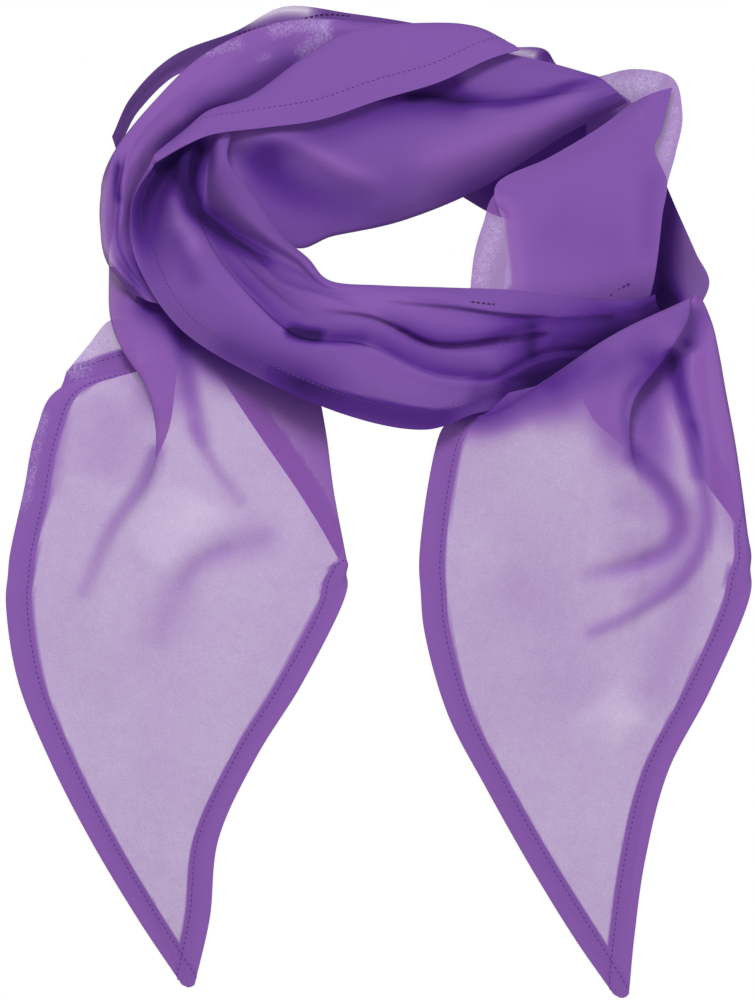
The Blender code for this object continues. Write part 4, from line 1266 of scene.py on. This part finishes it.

# %% [markdown]
# ## The outer turn on the left
#
# The outer turn comes up from under the band, goes round the left side and over to the back. A pleat
# folds it over itself along the side. Where it is crumpled, its crepe also takes a part of a layer
# off, so the cloth is lighter there.

# %% Lines of the outer turn on the left, in mm
# Sections: from under the band's hem, up the left side and over the top to the middle of the back.
OUTER_LEFT = {
    "inner end": [(-98, -108, -79), (-116, -82, -52), (-118, -32, -34), (-116, -8, -17.5),
                  (-111, 2, -7.5), (-99, 12, 4), (-70, 20, 20), (-35, 21, 39), (10, 21.5, 50)],
    "shaded side": [(-104.5, -109.5, -77.5), (-124, -85, -51), (-126, -54, -27.5),
                    (-124, -32, -10), (-119, -16, 1), (-107.5, -3, 12.5), (-79, 9, 30),
                    (-40, 15, 50), (10, 20.5, 57)],
    "overlap edge": [(-110.5, -108, -77), (-129, -88, -50), (-130, -64, -27), (-129, -41, -11),
                     (-126, -22, 1), (-112.5, -6, 19), (-85, 8, 41), (-45, 14, 60), (10, 20, 62)],
    "light strip": [(-116, -106, -75.5), (-136, -92, -51), (-138.5, -64, -26), (-135.5, -39, -9),
                    (-131, -20, 4), (-114.5, -4, 25), (-88, 9.5, 50), (-48, 16, 66.5),
                    (10, 22, 65.5)],
    "outer side": [(-121, -101, -73), (-136.5, -88, -56), (-140.5, -56, -37), (-140.5, -30, -22),
                   (-138, -6, -10), (-120, 11, 12), (-93, 21, 36), (-52, 24, 54), (8, 24.5, 53)],
    "low edge": [(-122.5, -94, -75), (-134, -80, -60), (-136, -50, -52), (-135, -22, -44),
                 (-132, 4, -35), (-117, 15, -18), (-90, 22, -10), (-50, 25, -5), (8, 25.5, 0)],
}
SIDE_PLEAT = [0.0, 0.4, 0.8, 0.6, 0.0, 0.0, 0.0, 0.0, 0.0]
FAR_BELOW = (0.0, 0.0, -500.0)  # mm


def outer_left():
    inner, shaded, edge, strip, side, low = along(OUTER_LEFT)
    edge_under = hidden_fold(edge, shaded, strip, spread(SIDE_PLEAT, OUTER_LEFT), FAR_BELOW)
    return woven([
        inner,
        shaded,
        *rounded(shaded, edge, edge_under),
        *rounded(edge, edge_under, strip),
        strip,
        side,
        low,
    ])


# %% Outer turn on the left
# Painted shade along the hem strip, in the crevice and the slit, beside the overlap, under the band's
# hem, at the lower end and in the top wedge; 'soft valley' is a painted highlight.
OUTER_LEFT_CREASES_AND_PAINTED_SHADE = {
    "along the hem strip": (
        [(-100, 16), (-82.5, 23), (-65, 31), (-50, 40), (-35, 53)],
        2, 9, 2.2, "both"),
    "crevice at the strip end": (
        [(-115, -4), (-105, 6), (-94, 14), (-82.5, 20), (-70, 23)],
        2, 3.5, 4, "both"),
    "narrow slit": (
        [(-130.5, -4), (-132, -11), (-132, -20), (-131, -28)],
        1.2, 2.2, 4.5, "both"),
    "beside the overlap": (
        [(-129.5, -20), (-130.5, -35), (-128.5, -49), (-124, -63), (-116, -79)],
        1, 5, 1.6, "right"),
    "under the band hem": (
        [(-120, -15), (-124.5, -27.5), (-126, -42.5), (-121, -60), (-112.5, -75)],
        1, 4, 2.2, "both"),
    "lower end": (
        [(-127.5, -50), (-121, -67.5), (-107.5, -85)],
        1, 7, 1, "both"),
    "soft valley": (
        [(-120, 15), (-107.5, 25), (-90, 34), (-70, 42)],
        -1.5, 9, -0.5, "both"),
    "top wedge": (
        [(-25, 71), (0, 70), (30, 67)],
        0.5, 4, 5, "both"),
    "light side": (
        [(-138.5, 0), (-139.5, -20), (-138, -45), (-135, -60), (-131, -75)],
        0, 7, -1.05, "both"),
}
OUTER_LEFT_CREPE = {
    "light edge": (
        [(-139.5, 0), (-140.5, -20), (-138.5, -45), (-136, -60)],
        0, 5, 0.7, "both"),
    "crumpled top": (
        [(-92, 48), (-77.5, 53.5), (-65, 57)],
        0, 5, 0.9, "both"),
    "crumpled middle": (
        [(-62, 59), (-47.5, 63), (-35, 66), (-17.5, 67)],
        0, 6, 1, "both"),
    "crumpled corner": (
        [(-46, 47), (-34, 54), (-22.5, 63)],
        0, 6, 0.95, "both"),
    "small patch": (
        [(-65, 46), (-58, 48), (-52, 49)],
        0, 3, 0.8, "both"),
}

grid = creased(outer_left(), OUTER_LEFT_CREASES_AND_PAINTED_SHADE)
dress("outer_left", grid, layers=2.3, creases=OUTER_LEFT_CREASES_AND_PAINTED_SHADE, crepe_marks=OUTER_LEFT_CREPE,
      crepe_opens=0.4, cut=(85, 270))

# %% [markdown]
# ## The outer turn on the back
#
# The turn goes on as a narrow twisted ribbon and spreads out across the outside of the back. From the
# front only its top edge shows, with its row of stitches. Its hidden side has three long soft creases
# of the same kind as those in front. There a trough has a negative depth, because a positive one goes
# away from the front.

# %% Outer turn on the back
# Sections: along the outside of the back, from a narrow twist at the left to the right shoulder.
OUTER_BACK = {
    "low edge": [(-131, 5, 3), (-121, 17, 22), (-97, 27, 41), (-73, 31, 26), (-45, 33, -5),
                 (-15, 34, -22), (25, 33, -15), (60, 29, -32), (85, 23, -36), (96, 19, -38),
                 (110, 13, -42)],
    "low crest": [(-132, 3.5, 4), (-122, 15, 23.5), (-98, 27, 43), (-73, 34, 36), (-46, 38, 12),
                  (-15, 40, 0), (25, 40, -6), (60, 36, -9), (85, 29, -12), (96, 25, -14),
                  (109.5, 18, -16)],
    "middle": [(-133, 1, 5.5), (-123, 13, 25), (-99.5, 25, 45), (-73, 31, 46), (-46.5, 33, 33),
               (-15, 35, 26), (25, 34.5, 21), (61, 30, 17), (85, 24, 15), (94, 20, 12),
               (109, 14, 8)],
    "hem line": [(-134, -1, 7), (-124, 10, 26.5), (-101, 22, 47), (-73, 29, 55), (-47, 32, 61),
                 (-15, 32, 58), (25, 31, 51), (62, 26, 41), (84, 20, 39), (91, 17, 32),
                 (108.5, 11, 22)],
    "hem edge": [(-135, -3, 8), (-125.5, 6, 28), (-103.5, 18, 49.5), (-73, 25, 61.5),
                 (-48, 27.5, 74), (-14.5, 28, 70.5), (25, 27, 64), (62.5, 21, 54), (83.5, 15, 52),
                 (90, 12.5, 43.5), (107.5, 7.5, 34)],
}
# Painted shade at the dark corner, behind the inner back and in the hidden troughs; 'ribbon' and
# 'hidden ridge' are painted highlights, and 'light rise' and 'light window' take layers off.
OUTER_BACK_CREASES_AND_PAINTED_SHADE = {
    "light rise": (
        [(-74, 64), (-62.5, 69), (-51, 72.5), (-39, 72.5), (-28, 70)],
        0, 5.5, -2.7, "both"),
    "light window": (
        [(63, 50.5), (72.5, 50.5), (81.5, 48)],
        0, 3.5, -2.5, "both"),
    "dark corner": (
        [(82.5, 52), (86, 46)],
        0, 4, 2, "both"),
    "behind the inner back": (
        [(41, -27), (55, -21), (80, -7.5), (95, 4), (115, 17.5), (130, 27.5)],
        0, 16, 3, "both"),
    "ribbon": (
        [(-141, 1), (-132, 19), (-117.5, 35), (-100, 48), (-84, 58)],
        0, 9, -0.5, "both"),
    "hidden upper trough": (
        [(-82.5, 36), (-50, 44), (-5, 46), (40, 40), (77.5, 29)],
        -2.5, 7, 0.4, "both"),
    "hidden ridge": (
        [(-72.5, 19), (-30, 26), (20, 25), (70, 13)],
        2.2, 8, -0.2, "both"),
    "hidden low trough": (
        [(-40, 0), (-5, 9), (35, 8), (75, -5)],
        -2, 6, 0.5, "both"),
}
BACK_SEAM = [(-74.0, 59.5), (-59.0, 64.0), (-44.0, 66.5), (-28.5, 70.0), (-12.0, 69.0)]
RIBBON_TUCK = np.array((4.5, 2.0, -14.0))  # mm that its first end runs on, out of sight

grid = creased(plain(OUTER_BACK), OUTER_BACK_CREASES_AND_PAINTED_SHADE)
grid = run_on(grid, RIBBON_TUCK, RIBBON_TUCK / 2)
dress("outer_back", grid, layers=3.4, creases=OUTER_BACK_CREASES_AND_PAINTED_SHADE, cut=(75, 240),
      pieces=[seam("outer_back", grid, BACK_SEAM)])

# %% [markdown]
# ## The outer turn on the right
#
# From the back's right shoulder the turn runs forward and down to the knob over the right tail. Its
# top edge stands up a little behind the right turn. That rise is a mark seen from above, which moves
# the cloth up.

# %% Outer turn on the right
# Sections: from the back's right shoulder forward to the knob over the right tail.
OUTER_RIGHT = {
    "low edge": [(104, 9, -42), (117, 7, -52), (121, -4, -63), (126, -20, -74), (133, -38, -85),
                 (143, -57, -95), (146, -62, -103)],
    "middle": [(104, 13, -10), (125, 9, -22), (136, -6, -40), (144, -26, -56), (151, -46, -69),
               (156, -67, -82), (155, -72, -92)],
    "top edge": [(104, 4, 32), (126, 4, 22), (140, -22, -7.5), (149, -42, -29), (158.5, -60, -51),
                 (165, -74, -67.5), (158, -78, -82)],
}
# Painted shade: the flap's shadow beside and under it, and the shade behind the inner back.
OUTER_RIGHT_CREASES_AND_PAINTED_SHADE = {
    "beside the flap": (
        [(146, -22.5), (142.5, -40), (141, -56), (142, -67.5), (144, -76)],
        1, 7, (5, 7), "both"),
    "under the flap": (
        [(155, -80), (137.5, -81), (120, -85)],
        0, 9, 6, "both"),
    "behind the inner back": (
        [(90, 0), (105, 12.5), (120, 25)],
        0, 18, 2, "both"),
}
OUTER_RIGHT_RISE = {
    "behind the right turn": (
        [(114, 5), (122, 5), (132, -2)],
        4, 7, 0, "both"),
}

grid = creased(plain(OUTER_RIGHT), OUTER_RIGHT_CREASES_AND_PAINTED_SHADE)
grid = creased(grid, OUTER_RIGHT_RISE, view="top")
dress("outer_right", grid, layers=2.4, creases=OUTER_RIGHT_CREASES_AND_PAINTED_SHADE, cut=(62, 120))

# %% [markdown]
# ## The flap
#
# On the right the cloth turns over and runs down behind the front band. The flap is the part of it
# that lies in front, over the one layer of the right turn, and so it looks much darker.

# %% Flap
# Sections: down from the right turn to behind the band.
FLAP = {
    "left edge": [(125.5, -27, 24), (110, -39, 12), (85, -52, -3), (58.5, -66, -16.5),
                  (61.5, -82, -36), (64, -95, -50), (62, -108, -68), (61, -112, -86)],
    "middle": [(137, -30, 29.5), (126, -43, 13), (111, -56, -1), (101, -68, -17),
               (101, -82, -34.5), (101, -94, -50), (99, -103, -67.5), (97, -101, -86)],
    "right edge": [(147, -28, 32.5), (142, -41, 12), (138, -50, 0.5), (144, -61, -15.5),
                   (141.5, -73, -32.5), (139.5, -82, -50), (137, -84, -66), (132, -77, -84)],
}
# Painted shade low in the middle and along the right side; 'thin edge' takes layers off.
FLAP_CREASES_AND_PAINTED_SHADE = {
    "lower middle": (
        [(80, -32.5), (105, -45), (130, -42.5)],
        1, 16, 0.5, "both"),
    "right side": (
        [(137.5, -5), (135, -30), (134, -56)],
        1, 5, 0.8, "both"),
    "thin edge": (
        [(60, -20), (57, -32.5), (58, -47.5), (60, -62.5), (60, -78)],
        0, 10, -2.85, "both"),
}
FLAP_SEAM = [(113.5, -75.0), (116.5, -71.0), (121.0, -68.5), (127.5, -65.5)]

grid = creased(plain(FLAP), FLAP_CREASES_AND_PAINTED_SHADE)
dress("flap", grid, layers=2.9, creases=FLAP_CREASES_AND_PAINTED_SHADE, cut=(75, 125),
      pieces=[seam("flap", grid, FLAP_SEAM)])

# %% [markdown]
# ## The right turn
#
# One layer goes round the outside of the flap, from the end of the inner back to behind the band. It
# is crumpled along its edges.

# %% Right turn
# Sections: from the end of the inner back, round the right turn and down behind the flap.
RIGHT_TURN = {
    "inner edge": [(121, 0, 25), (130, -12, 23), (133, -22, 17), (122.5, -31, 11.5), (90, -46, -5),
                   (59, -59, -20), (51.5, -74, -37), (47, -88, -53), (44, -104, -84)],
    "middle": [(115, 1, 32), (128, -9, 34), (141, -22, 28), (138, -32, 16), (119, -47, -3),
               (101, -61, -19), (96, -75, -36.5), (93, -86, -53), (90, -95, -82)],
    "outline": [(109, 2, 38), (128, -6, 42), (147.5, -20, 37), (152, -30, 20), (148.5, -42, -1),
                (144, -54, -17.5), (141, -67, -36), (139, -74, -53), (134, -70, -80)],
}
RIGHT_TURN_CREPE = {
    "crumpled top": (
        [(107.5, 37), (122.5, 32), (135, 36), (146, 33)],
        0, 9, 1.2, "both"),
    "crumpled side": (
        [(148, 30), (148, 15), (144, 0), (141, -11)],
        0, 5, 0.8, "both"),
    "crumpled left": (
        [(62.5, -27.5), (56, -45), (51, -60), (49, -75)],
        0, 8, 1, "both"),
}

grid = plain(RIGHT_TURN)
dress("right_turn", grid, layers=1.4, crepe_marks=RIGHT_TURN_CREPE, cut=(75, 140))

# %% [markdown]
# ## Floor
#
# A wide white disc stands for the floor under a wearer. A round one has no corner that could show in
# a turned view.

# %% White floor
FLOOR_DROP = 1.4  # m below the nape
FLOOR_REACH = 3.0  # m
FLOOR_CORNERS = 64
FLOOR_PAINT = (0.92, 0.92, 0.92, 1.0)
FLOOR_ROUGH = 0.9


def floor():
    mesh = bpy.data.meshes.new("floor")
    turn = np.linspace(0, 2 * np.pi, FLOOR_CORNERS, endpoint=False)
    rim = [(FLOOR_REACH * np.cos(a), FLOOR_REACH * np.sin(a), -FLOOR_DROP) for a in turn]
    mesh.from_pydata(rim, [], [tuple(range(FLOOR_CORNERS))])
    paint, _, shader = finish("white_floor")
    shader.inputs["Base Color"].default_value = FLOOR_PAINT
    shader.inputs["Roughness"].default_value = FLOOR_ROUGH
    linked("floor", mesh, paint)
    print(f"floor: {FLOOR_DROP} m below the nape")


floor()

# %% [markdown]
# ## Light
#
# White all round gives an even light that also shines through the cloth. A smaller soft light from
# above in front gives the folds their shape, and a weak one from the right opens their shadows. A
# single hard lamp would draw the folds more sharply, but hide how thin the cloth is.

# %% Room and lights
AMBIENT = 0.30  # how much of the white room's light reaches the cloth
LIGHT_AIM = np.array((0.0, -0.1, -0.15))  # m, the place that both lights point to

scene = bpy.context.scene
world = bpy.data.worlds.new("white_room")
world.use_nodes = True
tree = world.node_tree
seen = Sum(tree, node(tree, "ShaderNodeLightPath", {}).outputs["Is Camera Ray"])
room = tree.nodes["Background"]
room.inputs["Color"].default_value = (1.0, 1.0, 1.0, 1.0)
tree.links.new((AMBIENT + seen * (1 - AMBIENT)).socket, room.inputs["Strength"])
scene.world = world


def soft_light(name, place, size, power):
    """A square light with its side in metres and its power in watts."""
    lamp = bpy.data.lights.new(name, "AREA")
    lamp.size = size
    lamp.energy = power
    holder = bpy.data.objects.new(name, lamp)
    holder.location = place
    holder.rotation_euler = Vector(LIGHT_AIM - np.array(place)).to_track_quat("-Z", "Y").to_euler()
    scene.collection.objects.link(holder)
    print(f"{name}: {size} m wide, {power} W")


soft_light("key", place=(-0.3, -1.8, 1.2), size=0.75, power=30.0)
soft_light("fill", place=(1.3, -1.1, 0.1), size=0.8, power=5.0)

# %% [markdown]
# ## Camera
#
# The camera stands far away with a long lens, at the height of the middle of the scarf, so that its
# near and far sides are drawn at nearly the same size.

# %% Camera
PICTURE_HEIGHT = 0.5  # m, the height of the picture at the scarf
CAMERA_FAR = 15.0  # m
MIDDLE = (-0.00125, -0.1, -0.1675)  # m, what the camera looks at

camera = bpy.data.cameras.new("camera")
camera.sensor_fit = "VERTICAL"
camera.sensor_height = 36.0
camera.lens = camera.sensor_height * CAMERA_FAR / PICTURE_HEIGHT
camera.clip_end = 100.0
stand = bpy.data.objects.new("camera", camera)
stand.location = (MIDDLE[0], MIDDLE[1] - CAMERA_FAR, MIDDLE[2])
stand.rotation_euler = (np.pi / 2, 0, 0)
scene.collection.objects.link(stand)
scene.camera = stand
scene.view_settings.view_transform = "Standard"
scene.cycles.transparent_max_bounces = 64
print(f"camera: {camera.lens:.0f} mm lens, {CAMERA_FAR} m away")

# %% [markdown]
#
# The dressed scarf stays in the plain part's box, give or take what cloth may stand proud.

# %% Done
print("scarf dressed")
